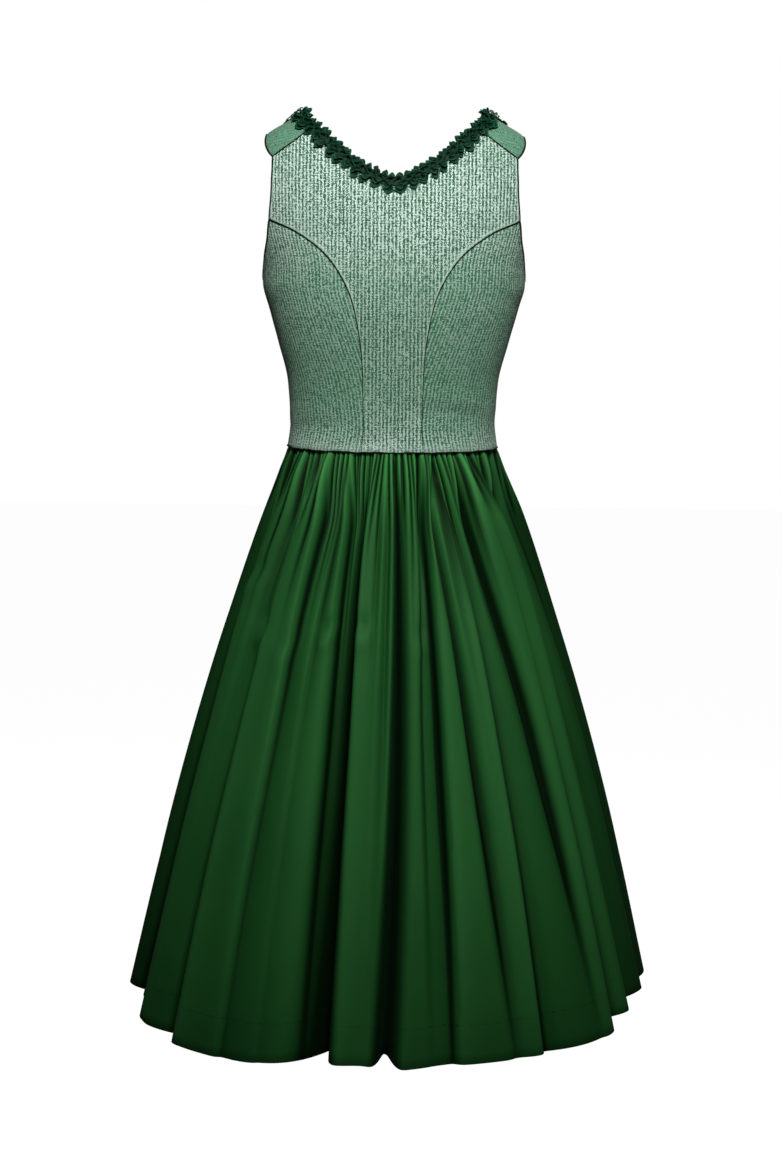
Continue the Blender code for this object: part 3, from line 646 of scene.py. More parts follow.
# ---------------------------------------------------------------------------------------------
# Materials
# ---------------------------------------------------------------------------------------------
class Nodes:
    """Short ways to add and join nodes in one tree."""

    def __init__(self, tree):
        self.tree = tree

    def add(self, kind, inputs=None, **settings):
        node = self.tree.nodes.new(kind)
        for key, value in settings.items():
            setattr(node, key, value)
        for key, value in (inputs or {}).items():
            self.put(node.inputs[key], value)
        return node

    def put(self, socket, value):
        if isinstance(value, bpy.types.NodeSocket):
            self.tree.links.new(value, socket)
        else:
            socket.default_value = value

    def math(self, operation, *values):
        node = self.add("ShaderNodeMath", operation=operation)
        for socket, value in zip(node.inputs, values):
            self.put(socket, value)
        return node.outputs[0]

    def times(self, first, second):
        return self.math("MULTIPLY", first, second)

    def plus(self, first, *others):
        for value in others:
            first = self.math("ADD", first, value)
        return first

    def minus(self, first, second):
        return self.math("SUBTRACT", first, second)

    def swing(self, value, amount):
        """A value from 0 to 1 as one that swings about 0, by half the amount each way."""
        return self.times(self.minus(value, 0.5), amount)

    def mix(self, factor, first, second, blend="MIX"):
        node = self.add("ShaderNodeMix", data_type="RGBA", blend_type=blend)
        for socket, value in ((node.inputs[0], factor), (node.inputs[6], first), (node.inputs[7], second)):
            self.put(socket, value)
        return node.outputs[2]

    def spread(self, value, low, high, to_low=0.0, to_high=1.0):
        node = self.add("ShaderNodeMapRange", interpolation_type="SMOOTHSTEP")
        sockets = ("Value", "From Min", "From Max", "To Min", "To Max")
        for key, item in zip(sockets, (value, low, high, to_low, to_high)):
            self.put(node.inputs[key], item)
        return node.outputs[0]

    def vector(self, x, y):
        return self.add("ShaderNodeCombineXYZ", {"X": x, "Y": y}).outputs[0]

    def grain(self, place, across, up):
        """A place stretched by two factors, so that a noise read there has longer or shorter cells."""
        return self.vector(self.times(place[0], across), self.times(place[1], up))

    def mark(self, name):
        """A value that the cloth's points carry."""
        return self.add("ShaderNodeAttribute", attribute_name=name).outputs["Fac"]

    def noise(self, where, scale=1.0, detail=2.0, rough=0.5):
        inputs = {"Vector": where, "Scale": scale, "Detail": detail, "Roughness": rough}
        return self.add("ShaderNodeTexNoise", inputs).outputs[0]


def new_group(name, inputs, outputs):
    """An empty shader node group; inputs and outputs are (name, kind, default)."""
    group = bpy.data.node_groups.new(name, "ShaderNodeTree")
    for title, kind, default in inputs:
        socket = group.interface.new_socket(name=title, in_out="INPUT", socket_type="NodeSocket" + kind)
        if default is not None:
            socket.default_value = default
    for title, kind in outputs:
        group.interface.new_socket(name=title, in_out="OUTPUT", socket_type="NodeSocket" + kind)
    nodes = Nodes(group)
    return group, nodes, nodes.add("NodeGroupInput").outputs, nodes.add("NodeGroupOutput").inputs


def herringbone_group():
    """Two-colour herringbone: twill lines that turn back at each rib, broken up by mixed yarns."""
    group, n, given, out = new_group(
        "herringbone weave",
        [("Cloth", "Vector", None), ("Rib", "Float", 0.0047), ("Line", "Float", 0.0024),
         ("Yarn", "Float", 0.0012), ("Light", "Color", (0.6, 0.7, 0.65, 1)),
         ("Dark", "Color", (0.06, 0.15, 0.1, 1)), ("Mixing", "Float", 0.6)],
        [("Color", "Color"), ("Height", "Float")],
    )
    place = n.add("ShaderNodeSeparateXYZ", {"Vector": given["Cloth"]}).outputs
    wobble = n.noise(given["Cloth"], 70.0)
    u, v = n.plus(place["X"], n.swing(wobble, 0.0008)), n.plus(place["Y"], n.swing(wobble, 0.0011))
    yarns = n.math("DIVIDE", u, given["Yarn"]), n.math("DIVIDE", v, given["Yarn"])

    # the twill lines climb across one rib and fall across the next
    zigzag = n.math("PINGPONG", u, given["Rib"])
    climbing = n.plus(v, n.times(zigzag, 1.3))
    wave = n.math("SINE", n.times(n.math("DIVIDE", climbing, given["Line"]), 2 * math.pi))
    picks = n.math("SINE", n.times(yarns[1], 2 * math.pi / 2.75))
    share = n.plus(n.times(wave, 0.12), n.times(picks, 0.10))

    # mixed yarns: single specks, long streaks of the warp and short ones of the weft
    cell = n.vector(n.math("FLOOR", n.times(yarns[0], 0.90)), n.math("FLOOR", n.times(yarns[1], 0.95)))
    speck = n.add("ShaderNodeTexWhiteNoise", {"Vector": cell}, noise_dimensions="2D").outputs["Value"]
    share = n.plus(share, n.swing(speck, given["Mixing"]))
    share = n.plus(share, n.swing(n.noise(n.grain(yarns, 0.60, 0.015)), 0.55))
    share = n.plus(share, n.swing(n.noise(n.grain(yarns, 0.16, 0.80)), 0.26))

    # the lines where the twill turns back
    turn_back = n.math("ABSOLUTE", n.minus(n.math("DIVIDE", zigzag, given["Rib"]), 0.5))
    share = n.plus(share, n.spread(turn_back, 0.16, 0.42, -0.24, 0.32))
    light = n.spread(n.plus(share, 0.47), 0.22, 0.80)
    n.put(out["Color"], n.mix(light, given["Dark"], given["Light"]))
    n.put(out["Height"], n.plus(n.times(wave, 0.35), light))
    return group


def slub_group():
    """Plain coarse twill in one colour, with thick and thin yarns."""
    group, n, given, out = new_group(
        "slub twill",
        [("Cloth", "Vector", None), ("Yarn", "Float", 0.0013), ("Light", "Color", (0.2, 0.4, 0.3, 1)),
         ("Dark", "Color", (0.03, 0.1, 0.05, 1))],
        [("Color", "Color"), ("Height", "Float")],
    )
    place = n.add("ShaderNodeSeparateXYZ", {"Vector": given["Cloth"]}).outputs
    yarns = n.math("DIVIDE", place["X"], given["Yarn"]), n.math("DIVIDE", place["Y"], given["Yarn"])
    line = n.math("SINE", n.times(n.plus(yarns[0], n.times(yarns[1], 0.8)), 2.6))
    slub = n.noise(n.grain(yarns, 0.30, 0.9), 1.0, 3.0, 0.6)
    fleck = n.noise(n.grain(yarns, 0.9, 0.35), 1.0, 3.0, 0.6)
    level = n.plus(n.times(slub, 0.75), n.times(fleck, 0.75), n.times(line, 0.045))
    light = n.spread(level, 0.48, 1.02)
    n.put(out["Color"], n.mix(light, given["Dark"], given["Light"]))
    n.put(out["Height"], n.plus(n.times(line, 0.3), light))
    return group


def sateen_group():
    """Smooth sateen: very fine warp lines, faint streaks and tiny dimples along the hem's stitching, with
    painted shade in the dimples.
    """
    group, n, given, out = new_group(
        "sateen",
        [("Cloth", "Vector", None), ("Colour", "Color", (0.02, 0.1, 0.03, 1)), ("Streak", "Float", 0.12),
         ("Hem line", "Float", 0.7), ("Stitch", "Float", 0.009)],
        [("Color", "Color"), ("Height", "Float"), ("Rough", "Float")],
    )
    place = n.add("ShaderNodeSeparateXYZ", {"Vector": given["Cloth"]}).outputs
    across, down = place["X"], place["Y"]
    fine = n.noise(n.grain((across, down), 1500.0, 60.0))
    weft = n.noise(n.grain((across, down), 50.0, 1300.0))
    broad = n.noise(given["Cloth"], 9.0, 3.0)
    level = n.plus(n.times(fine, 0.5), n.times(weft, 0.2), n.times(broad, 0.5))
    change = n.plus(1.0, n.times(n.minus(level, 0.6), n.times(given["Streak"], 4.0)))
    from_line = n.math("ABSOLUTE", n.minus(down, given["Hem line"]))
    beat = n.math("PINGPONG", across, given["Stitch"])
    dimple = n.times(n.spread(from_line, 0.0004, 0.0016, 1.0, 0.0), n.spread(beat, 0.001, 0.003, 1.0, 0.35))
    inside_hem = n.spread(down, n.minus(given["Hem line"], 0.001), n.plus(given["Hem line"], 0.001))
    # painted shade in the stitches' dimples
    shade = n.times(change, n.minus(1.0, n.times(dimple, 0.35)))
    shade = n.times(shade, n.minus(1.0, n.times(inside_hem, 0.05)))
    grey = n.add("ShaderNodeCombineColor", {"Red": shade, "Green": shade, "Blue": shade}).outputs[0]
    n.put(out["Color"], n.mix(1.0, given["Colour"], grey, "MULTIPLY"))
    n.put(out["Height"], n.minus(n.times(fine, 0.5), n.times(dimple, 1.5)))
    n.put(out["Rough"], n.plus(0.48, n.times(fine, 0.16)))
    return group


def fading_group():
    """Slow change of shade over the whole garment, so that no cloth is one even colour."""
    group, n, given, out = new_group(
        "uneven shade",
        [("Colour", "Color", (0.5, 0.5, 0.5, 1)), ("Tint", "Color", (0.5, 0.5, 0.5, 1)),
         ("Size", "Float", 7.0), ("Amount", "Float", 0.3)],
        [("Color", "Color")],
    )
    where = n.add("ShaderNodeTexCoord").outputs["Object"]
    cloud = n.spread(n.noise(where, given["Size"], 3.0, 0.55), 0.35, 0.68)
    n.put(out["Color"], n.mix(n.times(cloud, given["Amount"]), given["Colour"], given["Tint"]))
    return group


GROUPS = {
    "herringbone": herringbone_group(),
    "slub": slub_group(),
    "sateen": sateen_group(),
    "uneven": fading_group(),
}


# Colours of the cloths: the yarns, a tint that comes and goes slowly, and the painted highlights and painted
# shade
HERRINGBONE = {
    "light": (0.60, 0.74, 0.66, 1), "dark": (0.018, 0.082, 0.046, 1), "tint": (0.09, 0.23, 0.15, 1),
    # The next two: painted shade down the bodice and on its sides, partly the side panels' nap; and a painted
    # highlight on turned edges and above the waist.
    "nap and painted shade": (0.018, 0.170, 0.060, 1), "painted seam highlight": (0.46, 0.62, 0.53, 1),
}
SLUB = {"light": (0.16, 0.36, 0.235, 1), "dark": (0.014, 0.075, 0.036, 1), "tint": (0.05, 0.17, 0.10, 1)}
SATEEN = {
    "plain": (0.0185, 0.118, 0.0235, 1), "tint": (0.0080, 0.078, 0.0210, 1),
    # The next two are a painted highlight on the crests and lit faces, and painted shade in the hollows, on
    # the sides and towards the hem.
    "painted_crest_light": (0.050, 0.250, 0.064, 1), "hollow": (0.0005, 0.005, 0.0008, 1), "sheen": (0.20, 0.75, 0.28, 1),
}
RIBBON = {
    # the last colour is the painted highlight along the petals' rims and the straps' edges
    "plain": (0.0022, 0.019, 0.009, 1), "tint": (0.0008, 0.008, 0.004, 1), "fold": (0.026, 0.160, 0.080, 1),
}
CORD = {"light": (0.004, 0.020, 0.009, 1), "dark": (0.001, 0.006, 0.003, 1)}
NO_HEM_LINE = 9.0  # farther down than any ribbon reaches


def new_material(name, roughness, **sockets):
    material = bpy.data.materials.new(name)
    material.use_nodes = True
    shader = material.node_tree.nodes["Principled BSDF"]
    shader.inputs["Roughness"].default_value = roughness
    for key, value in sockets.items():
        shader.inputs[key.replace("_", " ")].default_value = value
    return material, Nodes(material.node_tree), shader


def place_group(n, key, **inputs):
    node = n.add("ShaderNodeGroup")
    node.node_tree = GROUPS[key]
    for title, value in inputs.items():
        n.put(node.inputs[title.replace("_", " ")], value)
    return node.outputs


def weave_in(n, key, **inputs):
    """A weave's group, laid along the cloth."""
    return place_group(n, key, Cloth=n.add("ShaderNodeUVMap", uv_map="cloth").outputs[0], **inputs)


def uneven(n, weave, tint, size, amount):
    return place_group(n, "uneven", Colour=weave["Color"], Tint=tint, Size=size, Amount=amount)["Color"]


def finish_cloth(n, shader, colour, height, depth, strength):
    """Joins a cloth's colour and its relief of a given depth to the shader."""
    n.put(shader.inputs["Base Color"], colour)
    bump = n.add("ShaderNodeBump", {"Height": height, "Distance": depth, "Strength": strength})
    n.put(shader.inputs["Normal"], bump.outputs[0])


def herringbone_material():
    material, n, shader = new_material("grey-green herringbone", 0.95, Sheen_Weight=0.06, Sheen_Roughness=0.5)
    weave = weave_in(n, "herringbone", Light=HERRINGBONE["light"], Dark=HERRINGBONE["dark"], Mixing=0.90)
    body = uneven(n, weave, HERRINGBONE["tint"], 9.0, 0.12)
    # painted shade lower down the bodice and more on its sides, partly the side panels' nap
    shaded = n.mix(n.mark("nap_and_painted_shade"), body, HERRINGBONE["nap and painted shade"])
    # painted highlight on the turned lips and just above the waist seam
    colour = n.mix(n.mark("painted_seam_highlight"), shaded, HERRINGBONE["painted seam highlight"])
    finish_cloth(n, shader, colour, weave["Height"], 0.0003, 0.8)
    return material


def slub_material():
    material, n, shader = new_material("green slub twill", 0.95, Sheen_Weight=0.06, Sheen_Roughness=0.5)
    weave = weave_in(n, "slub", Light=SLUB["light"], Dark=SLUB["dark"])
    finish_cloth(n, shader, uneven(n, weave, SLUB["tint"], 14.0, 0.25), weave["Height"], 0.0003, 0.8)
    return material


def sateen_material():
    material, n, shader = new_material(
        "deep green sateen", 0.55, Sheen_Weight=0.02, Sheen_Roughness=0.4, Sheen_Tint=SATEEN["sheen"],
        Specular_IOR_Level=0.05,
    )
    weave = weave_in(n, "sateen", Colour=SATEEN["plain"], Streak=0.08, Hem_line=SKIRT_LENGTH - HEM_DEPTH)
    body = uneven(n, weave, SATEEN["tint"], 6.0, 0.35)
    # Painted highlight on the crests, the faces beside crisp edges and the top; then painted shade in the
    # hollows, on the sides and towards the hem.
    lit = n.mix(n.times(n.mark("painted_crest_light"), 0.80), body, SATEEN["painted_crest_light"])
    shaded = n.mix(n.times(n.mark("hollow"), 0.96), lit, SATEEN["hollow"])
    n.put(shader.inputs["Roughness"], weave["Rough"])
    finish_cloth(n, shader, shaded, weave["Height"], 0.00012, 0.6)
    return material


def ribbon_material():
    material, n, shader = new_material("dark green taffeta ribbon", 0.55, Specular_IOR_Level=0.08)
    weave = weave_in(n, "sateen", Colour=RIBBON["plain"], Streak=0.2, Hem_line=NO_HEM_LINE)
    body = uneven(n, weave, RIBBON["tint"], 60.0, 0.7)
    # painted highlight along the petals' rims and the straps' edges
    finish_cloth(n, shader, n.mix(n.mark("painted_ribbon_highlight"), body, RIBBON["fold"]), weave["Height"], 0.0001, 0.5)
    return material


def piping_material():
    material, n, shader = new_material("bottle green piping", 0.75, Specular_IOR_Level=0.15)
    weave = weave_in(n, "slub", Yarn=0.0005, Light=CORD["light"], Dark=CORD["dark"])
    finish_cloth(n, shader, weave["Color"], weave["Height"], 0.0001, 0.6)
    return material


# ---------------------------------------------------------------------------------------------
# Bodice
# ---------------------------------------------------------------------------------------------
def crease_depth(points):
    """How far soft creases draw the bodice's cloth in."""
    total = np.zeros(points.shape[:-1])
    for row in rows_of(CREASE_COLUMNS, CREASES):
        on_side = points[..., 1] < 0 if row["side"] == "back" else points[..., 1] > 0
        c, s = math.cos(math.radians(row["turn"])), math.sin(math.radians(row["turn"]))
        dx, dz = points[..., 0] - row["x"], points[..., 2] - row["z"]
        along, across = (dx * c + dz * s) / row["length"], (dz * c - dx * s) / row["width"]
        swell = CREASE_SWELL["share"] * np.exp(-((across - CREASE_SWELL["beside"]) ** 2))
        total += on_side * row["depth"] * (np.exp(-(across**2)) - swell) * np.exp(-2 * along**2)
    return total


ARC_ANGLES = np.linspace(0, math.pi, 181)
ARC_HEIGHTS = 90


def cloth_width(angle, z):
    """Length along the cloth from the centre back to an angle, at a height."""
    heights = np.linspace(BODY_SECTIONS[-1][0], BODY_SECTIONS[0][0], ARC_HEIGHTS)
    grid = bodice_point(ARC_ANGLES[None, :], heights[:, None])
    runs = np.cumsum(np.linalg.norm(np.diff(grid, axis=1, prepend=grid[:, :1]), axis=-1), axis=1)
    row = np.clip((z - heights[0]) / (heights[1] - heights[0]), 0, len(heights) - 1.001)
    column = np.clip(np.abs(angle) / ARC_ANGLES[1], 0, len(ARC_ANGLES) - 1.001)
    i, j = row.astype(int), column.astype(int)
    a, b = row - i, column - j
    low = runs[i, j] * (1 - b) + runs[i, j + 1] * b
    high = runs[i + 1, j] * (1 - b) + runs[i + 1, j + 1] * b
    return np.sign(angle) * (low * (1 - a) + high * a)


# How far painted shade turns the herringbone darker and greener down the bodice, as (height, share), and how
# much more on the side panels, where it is partly their nap
NAP_AND_PAINTED_SHADE = (
    (-0.40, 0.16), (-0.37, 0.34), (-0.33, 0.46), (-0.26, 0.38), (-0.20, 0.36), (-0.15, 0.14), (-0.09, 0.12),
)
NAP_AND_PAINTED_SHADE_MORE = {"side_back": 0.15, "side_front": 0.10}
SEAM_DRAW = {"depth": 0.0005, "reach": 0.0028}  # how the cloth dips towards its seams
# turned lips: where they lie, their half width and height, and how strong the painted highlight on them is
TURNED_LIP = {"from_edge": 0.0027, "half_width": 0.0014, "height": 0.0007, "light": 0.70}
LIP_FADES = {"from": -0.32, "over": 0.12, "least": 0.30}  # the lips fade towards the waist
# painted highlight just above the waist seam: how far up it reaches and how strong it is
WAIST_PAINTED_HIGHLIGHT = {"reach": 0.009, "light": 0.30}
BIAS_STRETCH = 1.04  # the cloth's length along the body for its height


def panel(name, cut, polar_grid, material, slot, lips=(), grain=None):
    """One panel of the bodice: creased cloth, drawn in at its seams, with lips where an edge is turned.

    grain is the angle on the body where the weave runs straight up; without one it follows the panel's edge.
    """
    angle, z = polar_grid[..., 0], polar_grid[..., 1]
    points, normal = bodice_point(angle, z), bodice_normal(angle, z)
    far = edge_distance(points)
    nearest = np.minimum.reduce(list(far.values()))
    drawn_in = crease_depth(points) + SEAM_DRAW["depth"] * np.exp(-((nearest / SEAM_DRAW["reach"]) ** 2))
    lip = np.zeros_like(nearest)
    for edge in lips:
        off_middle = (far[edge] - TURNED_LIP["from_edge"]) / TURNED_LIP["half_width"]
        lip = np.maximum(lip, np.exp(-(off_middle**2)))
    least = LIP_FADES["least"]
    lip *= least + (1 - least) * np.clip((z - LIP_FADES["from"]) / LIP_FADES["over"], 0, 1)
    points = points + normal * (TURNED_LIP["height"] * lip - drawn_in)[..., None]
    if grain is None:
        cloth = np.stack([far["left"], far["bottom"]], axis=-1)
    else:
        reference = cloth_width(np.full_like(z, grain), z)
        cloth = np.stack([cloth_width(angle, z) - reference, z * BIAS_STRETCH], axis=-1)
    half = normal * BODICE_CLOTH / 2
    heights, greens = zip(*NAP_AND_PAINTED_SHADE)
    # painted highlight on the turned lips and just above the waist seam
    painted_waist_highlight = WAIST_PAINTED_HIGHLIGHT["light"] * np.exp(-((far["bottom"] / WAIST_PAINTED_HIGHLIGHT["reach"]) ** 2))
    piece = make_shell(name, points + half, points - half, material, slot, cloth, {
        "painted_seam_highlight": np.maximum(lip * TURNED_LIP["light"], painted_waist_highlight),
        # painted shade lower down the bodice and on its sides, partly the side panels' nap
        "nap_and_painted_shade": NAP_AND_PAINTED_SHADE_MORE.get(cut, 0.0) + np.interp(z, heights, greens),
    })


def make_bodice(herringbone, slub):
    """The seven panels; the left ones are the right ones turned over."""
    s = SEAMS
    right_side = np.vstack([s["back_princess"], s["back_armhole"][1:]])
    neck_half = np.vstack([s["shoulder"], s["back_neck"][1:]])
    top = np.vstack([mirrored(neck_half), neck_half[::-1][1:]])
    back = patch(s["back_waist"], top, mirrored(right_side), right_side)
    panel("back_centre", "back_centre", back, herringbone, "bodice_cloth", lips=("left", "right"), grain=0.0)
    side_back = patch(s["side_back_waist"], s["back_underarm"], s["back_princess"], s["side"])
    side_front = patch(s["side_front_waist"], s["front_underarm"], s["front_princess"], s["side"])
    outer = np.vstack([s["front_princess"], s["front_armhole"][1:]])
    inner = np.vstack([s["centre_front"], s["front_neck"][1:]])
    front = patch(s["front_waist"], s["shoulder"][::-1], inner, outer)
    for side, flip, sign in (("right", np.array, 1), ("left", mirrored, -1)):
        for cut, grid in (("side_back", side_back), ("side_front", side_front)):
            panel(f"{cut}_{side}", cut, flip(grid), herringbone, "bodice_cloth", grain=sign * SIDE)
        panel("front_" + side, "front", flip(front), slub, "front_cloth")


UNDERLAP = {"rows": 60, "columns": 13, "end_gap": 0.001, "behind": 0.0024, "half_thickness": 0.0005}


def make_underlap(slub):
    """The strip that closes the front from behind."""
    gap, reach = UNDERLAP["end_gap"], UNDERLAP_REACH
    heights = np.linspace(WAIST_Z + gap, FRONT_NECK[0][1] - gap, UNDERLAP["rows"])
    x, z = np.meshgrid(np.linspace(-reach, reach, UNDERLAP["columns"]), heights)
    angle = polar(np.stack([np.abs(x).ravel(), z.ravel()], axis=1), front=True)[:, 0].reshape(x.shape)
    angle *= np.where(x < 0, -1, 1)
    normal = bodice_normal(angle, z)
    points = bodice_point(angle, z) - normal * UNDERLAP["behind"]
    half = normal * UNDERLAP["half_thickness"]
    cloth = np.stack([x, z], axis=-1)
    piece = make_shell("front_underlap", points + half, points - half, slub, "front_cloth", cloth)


# ---------------------------------------------------------------------------------------------
# Skirt
# ---------------------------------------------------------------------------------------------
def blurred(ring, share):
    """Each row of a closed ring averaged over a share of its columns."""
    count = ring.shape[1]
    half = max(int(count * share), 1)
    kernel = np.hanning(2 * half + 3)
    kernel /= kernel.sum()
    padded = np.concatenate([ring[:, -half - 1 :], ring, ring[:, : half + 1]], axis=1)
    return np.array([np.convolve(row, kernel, "valid") for row in padded])


# How the painted shade of the hollows and the painted highlight of the crests are made up.  Each row has the
# share of the waist's length over which a point is compared with its neighbours, the difference of level that
# counts in full, and the row's weight.
GROOVE_COLUMNS = ("reach", "full", "weight")
PAINTED_SHADE_SCALES = ((0.006, 0.0026, 0.60), (0.022, 0.012, 0.80))
PAINTED_CREST_LIGHT_SCALES = ((0.006, 0.0026, 0.65), (0.022, 0.010, 0.45))
PAINTED_SHADE_SHARES = {"groove": 0.62, "less_at_top": 0.34, "line": 1.10, "at_side": 0.42, "at_hem": 0.34}
PAINTED_CREST_LIGHT_SHARES = {"rise": 0.45, "lit_face": 0.85, "at_top": 1.1}
SIDE_PAINTED_SHADE_WIDTH = 0.34


def compared(level, rows, sign):
    """The weighted sum of how far each point lies below (sign 1) or above (sign -1) its neighbours."""
    total = 0
    for row in rows_of(GROOVE_COLUMNS, rows):
        below = sign * (blurred(level, row["reach"]) - level)
        total = total + np.clip(below / row["full"], 0, 1) * row["weight"]
    return np.concatenate([total, total[:, :1]], axis=1)


def painted_fold_light_and_shade(ring, faces, lines):
    """Painted shade in the hollows and painted highlight near the crests, for each point of the skirt: 0 to
    1.

    Painted shade gathers in the hollows, on the skirt's sides and towards its lowest part.  Just below the
    waist the cloth between the gathers, and each face beside a crisp edge, carry a painted highlight.
    """
    level = np.hypot(ring[:, :-1, 0], ring[:, :-1, 1])
    up = np.linspace(0, 1, len(ring))[:, None]
    upper, low = 1 - (1 - up) ** 0.5, (1 - up) ** 5
    round_angle = np.abs(np.arctan2(ring[..., 0], -ring[..., 1]))
    at_side = np.exp(-(((round_angle - SIDE) / SIDE_PAINTED_SHADE_WIDTH) ** 2))
    share = PAINTED_SHADE_SHARES
    hollow = (share["groove"] - share["less_at_top"] * upper) * compared(level, PAINTED_SHADE_SCALES, 1)
    hollow = hollow + share["line"] * lines + share["at_side"] * at_side + share["at_hem"] * low
    hollow = np.clip(hollow, 0, 1)
    faces = np.maximum(faces, PAINTED_CREST_LIGHT_SHARES["at_top"] * upper * (1 - lines))
    painted_crest_light = PAINTED_CREST_LIGHT_SHARES["rise"] * compared(level, PAINTED_CREST_LIGHT_SCALES, -1) + PAINTED_CREST_LIGHT_SHARES["lit_face"] * faces
    return {"hollow": hollow, "painted_crest_light": np.clip(painted_crest_light, 0, 1) * (1 - hollow)}


def skirt_angles():
    """Angles round the waist, closer together where the folds turn sharply; quarter turns are kept."""
    quarter = 3600
    fine = np.linspace(-math.pi, math.pi, 4 * quarter + 1)
    density = 1 + sum(np.exp(-((wrapped(fine - place) / COLUMNS_CROWD) ** 2)) for place in FOLD_PATHS[0])
    total = np.concatenate([[0], np.cumsum((density[1:] + density[:-1]) / 2)])
    quarters = []
    for first in range(0, 4 * quarter, quarter):
        at = np.linspace(total[first], total[first + quarter], SKIRT_QUARTER + 1)
        quarters.append(np.interp(at, total, fine)[:-1])
    return np.concatenate([*quarters, fine[-1:]])


SKIRT_TOP_GAP = 0.0006
# the quarter turns, from the centre front, where each part of the skirt starts and ends
SKIRT_PARTS = (("skirt_front_left", 0, 1), ("skirt_back", 1, 3), ("skirt_front_right", 3, 4))
HEM_FOLD = {"thickness": 0.0008, "edge": 0.0012}


def make_skirt(sateen):
    """The three parts of the skirt, cut out of one ring of cloth with a turned-up hem."""
    shares = np.linspace(0, 1, SKIRT_ROW_COUNT + 1) ** ROWS_CROWD
    drops = (SKIRT_TOP_GAP + (SKIRT_LENGTH - SKIRT_TOP_GAP) * shares)[::-1]
    ring, faces, lines = skirt_grid(skirt_angles(), drops)
    closed = np.concatenate([ring[:, -2:-1], ring, ring[:, 1:2]], axis=1)
    normals = grid_normals(closed)[:, 1:-1]
    hem_run = run_length(ring[0])
    cloth = np.stack(np.broadcast_arrays(hem_run[None, :], drops[:, None]), axis=-1)
    turned_up = 1 / (1 + np.exp((SKIRT_LENGTH - HEM_DEPTH - drops) / HEM_FOLD["edge"]))
    inner_half = SKIRT_CLOTH / 2 + HEM_FOLD["thickness"] * turned_up[:, None, None]
    outer, inner = ring + normals * SKIRT_CLOTH / 2, ring - normals * inner_half
    # The painted shade and painted highlight of the sateen, as marks on its points.
    marks = painted_fold_light_and_shade(ring, faces, lines)
    for name, first, last in SKIRT_PARTS:
        part = slice(first * SKIRT_QUARTER, last * SKIRT_QUARTER + 1)
        piece = make_shell(
            name, outer[:, part], inner[:, part], sateen, "skirt_cloth", cloth[:, part],
            {key: value[:, part] for key, value in marks.items()},
        )


# ---------------------------------------------------------------------------------------------
# Neck trim: a ribbon in box pleats whose folds are pinched together, so that it opens in petals
# ---------------------------------------------------------------------------------------------
NECK_STEP = 0.001
NECK_EASE = 6  # steps on either side over which its turns are eased
RIBBON_THICKNESS = 0.00028
TRIM_TOP = 0.0062  # how far the petals may stand above the cloth

# A petal's outline: its width at the root, how it swells, how pointed it is and how it pinches.  Then its
# form: how it arches, curls and waves, and its lift off the cloth.  Then the painted highlight along its rim
# and sides.
PETAL = {
    "rows": 6, "columns": 9, "root": 0.20, "swell": 0.62, "point": 0.46, "pinch": 0.18,
    "arch": 0.52, "flat_sides": 0.35, "curl_at_root": 0.25, "wave": 0.0005, "lift": 0.0008,
    "rim": 0.16, "rim_light": 0.62, "side_light": 0.45,
}
STRAP = {"steps": 12, "columns": 5, "low_ends": 0.72, "rounded": 0.0005, "edge_light": 0.60, "cut": 0.012}
BASE = {"end_gap": 0.0004, "half_width": 0.0062, "steps": 500, "wave": 0.0006, "wave_length": 0.0065}
NESTED_COLUMNS = ("size", "tilt", "start")
NESTED_PETALS = ((1.0, 0.12, 0.0015), (0.74, 0.50, 0.0012), (0.46, 0.95, 0.0010))
PETAL_RANGES = {
    "stray": (-0.0009, 0.0009), "length": (0.92, 1.06), "width": (0.8, 1.15), "tilt": (0.7, 1.3),
    "cup": (0.0010, 0.0034), "lean": (-0.0032, 0.0032),
}
PETAL_LEAST_WIDTH = 0.35
SHOULDER_TURN = {"reach": 0.018, "front_of": -0.012, "shorter": 0.45, "flatter": 0.7}

# The rows of rosettes below and above the middle: their pitch, how far they stray, and their ranges of size
ROSETTE_COLUMNS = ("side", "pitch", "stray", "length", "width")
ROSETTES = (
    (1, 0.0132, 0.0016, (0.0125, 0.0165), (0.0120, 0.0155)),
    (-1, 0.0098, 0.0013, (0.0088, 0.0112), (0.0092, 0.0120)),
)
STRAPS = {"pitch": 0.0110, "stray": 0.0012, "swing": (0.0030, 0.0055), "back_swing": 0.9}
UPPER_STRAP = {"width": (0.0014, 0.0022), "height": (0.0058, 0.0070)}
LOWER_STRAP = {"width": (0.0012, 0.0020), "height": (0.0052, 0.0062)}


def neck_frames():
    """Runs, points and three directions (along, into the cloth, outward) at even steps round the neckline."""
    half = np.vstack([SEAMS["front_neck"], SEAMS["back_neck"][1:]])
    line = np.vstack([half, mirrored(half)[::-1][1:]])
    spots, normals = bodice_point(line[:, 0], line[:, 1]), bodice_normal(line[:, 0], line[:, 1])
    run = run_length(spots)
    at = np.linspace(0, run[-1], int(run[-1] / NECK_STEP))
    spots, normals = read_line(spots, run, at), unit(read_line(normals, run, at))
    kernel = np.hanning(2 * NECK_EASE + 1)
    kernel /= kernel.sum()

    def eased(values):
        padded = np.pad(values, ((NECK_EASE, NECK_EASE), (0, 0)), mode="edge")
        return np.stack([np.convolve(padded[:, k], kernel, "valid") for k in range(3)], axis=1)

    along = unit(eased(np.gradient(spots, axis=0)))
    normals = unit(eased(normals))
    into = unit(np.cross(normals, along))
    return at, spots, along, into, normals


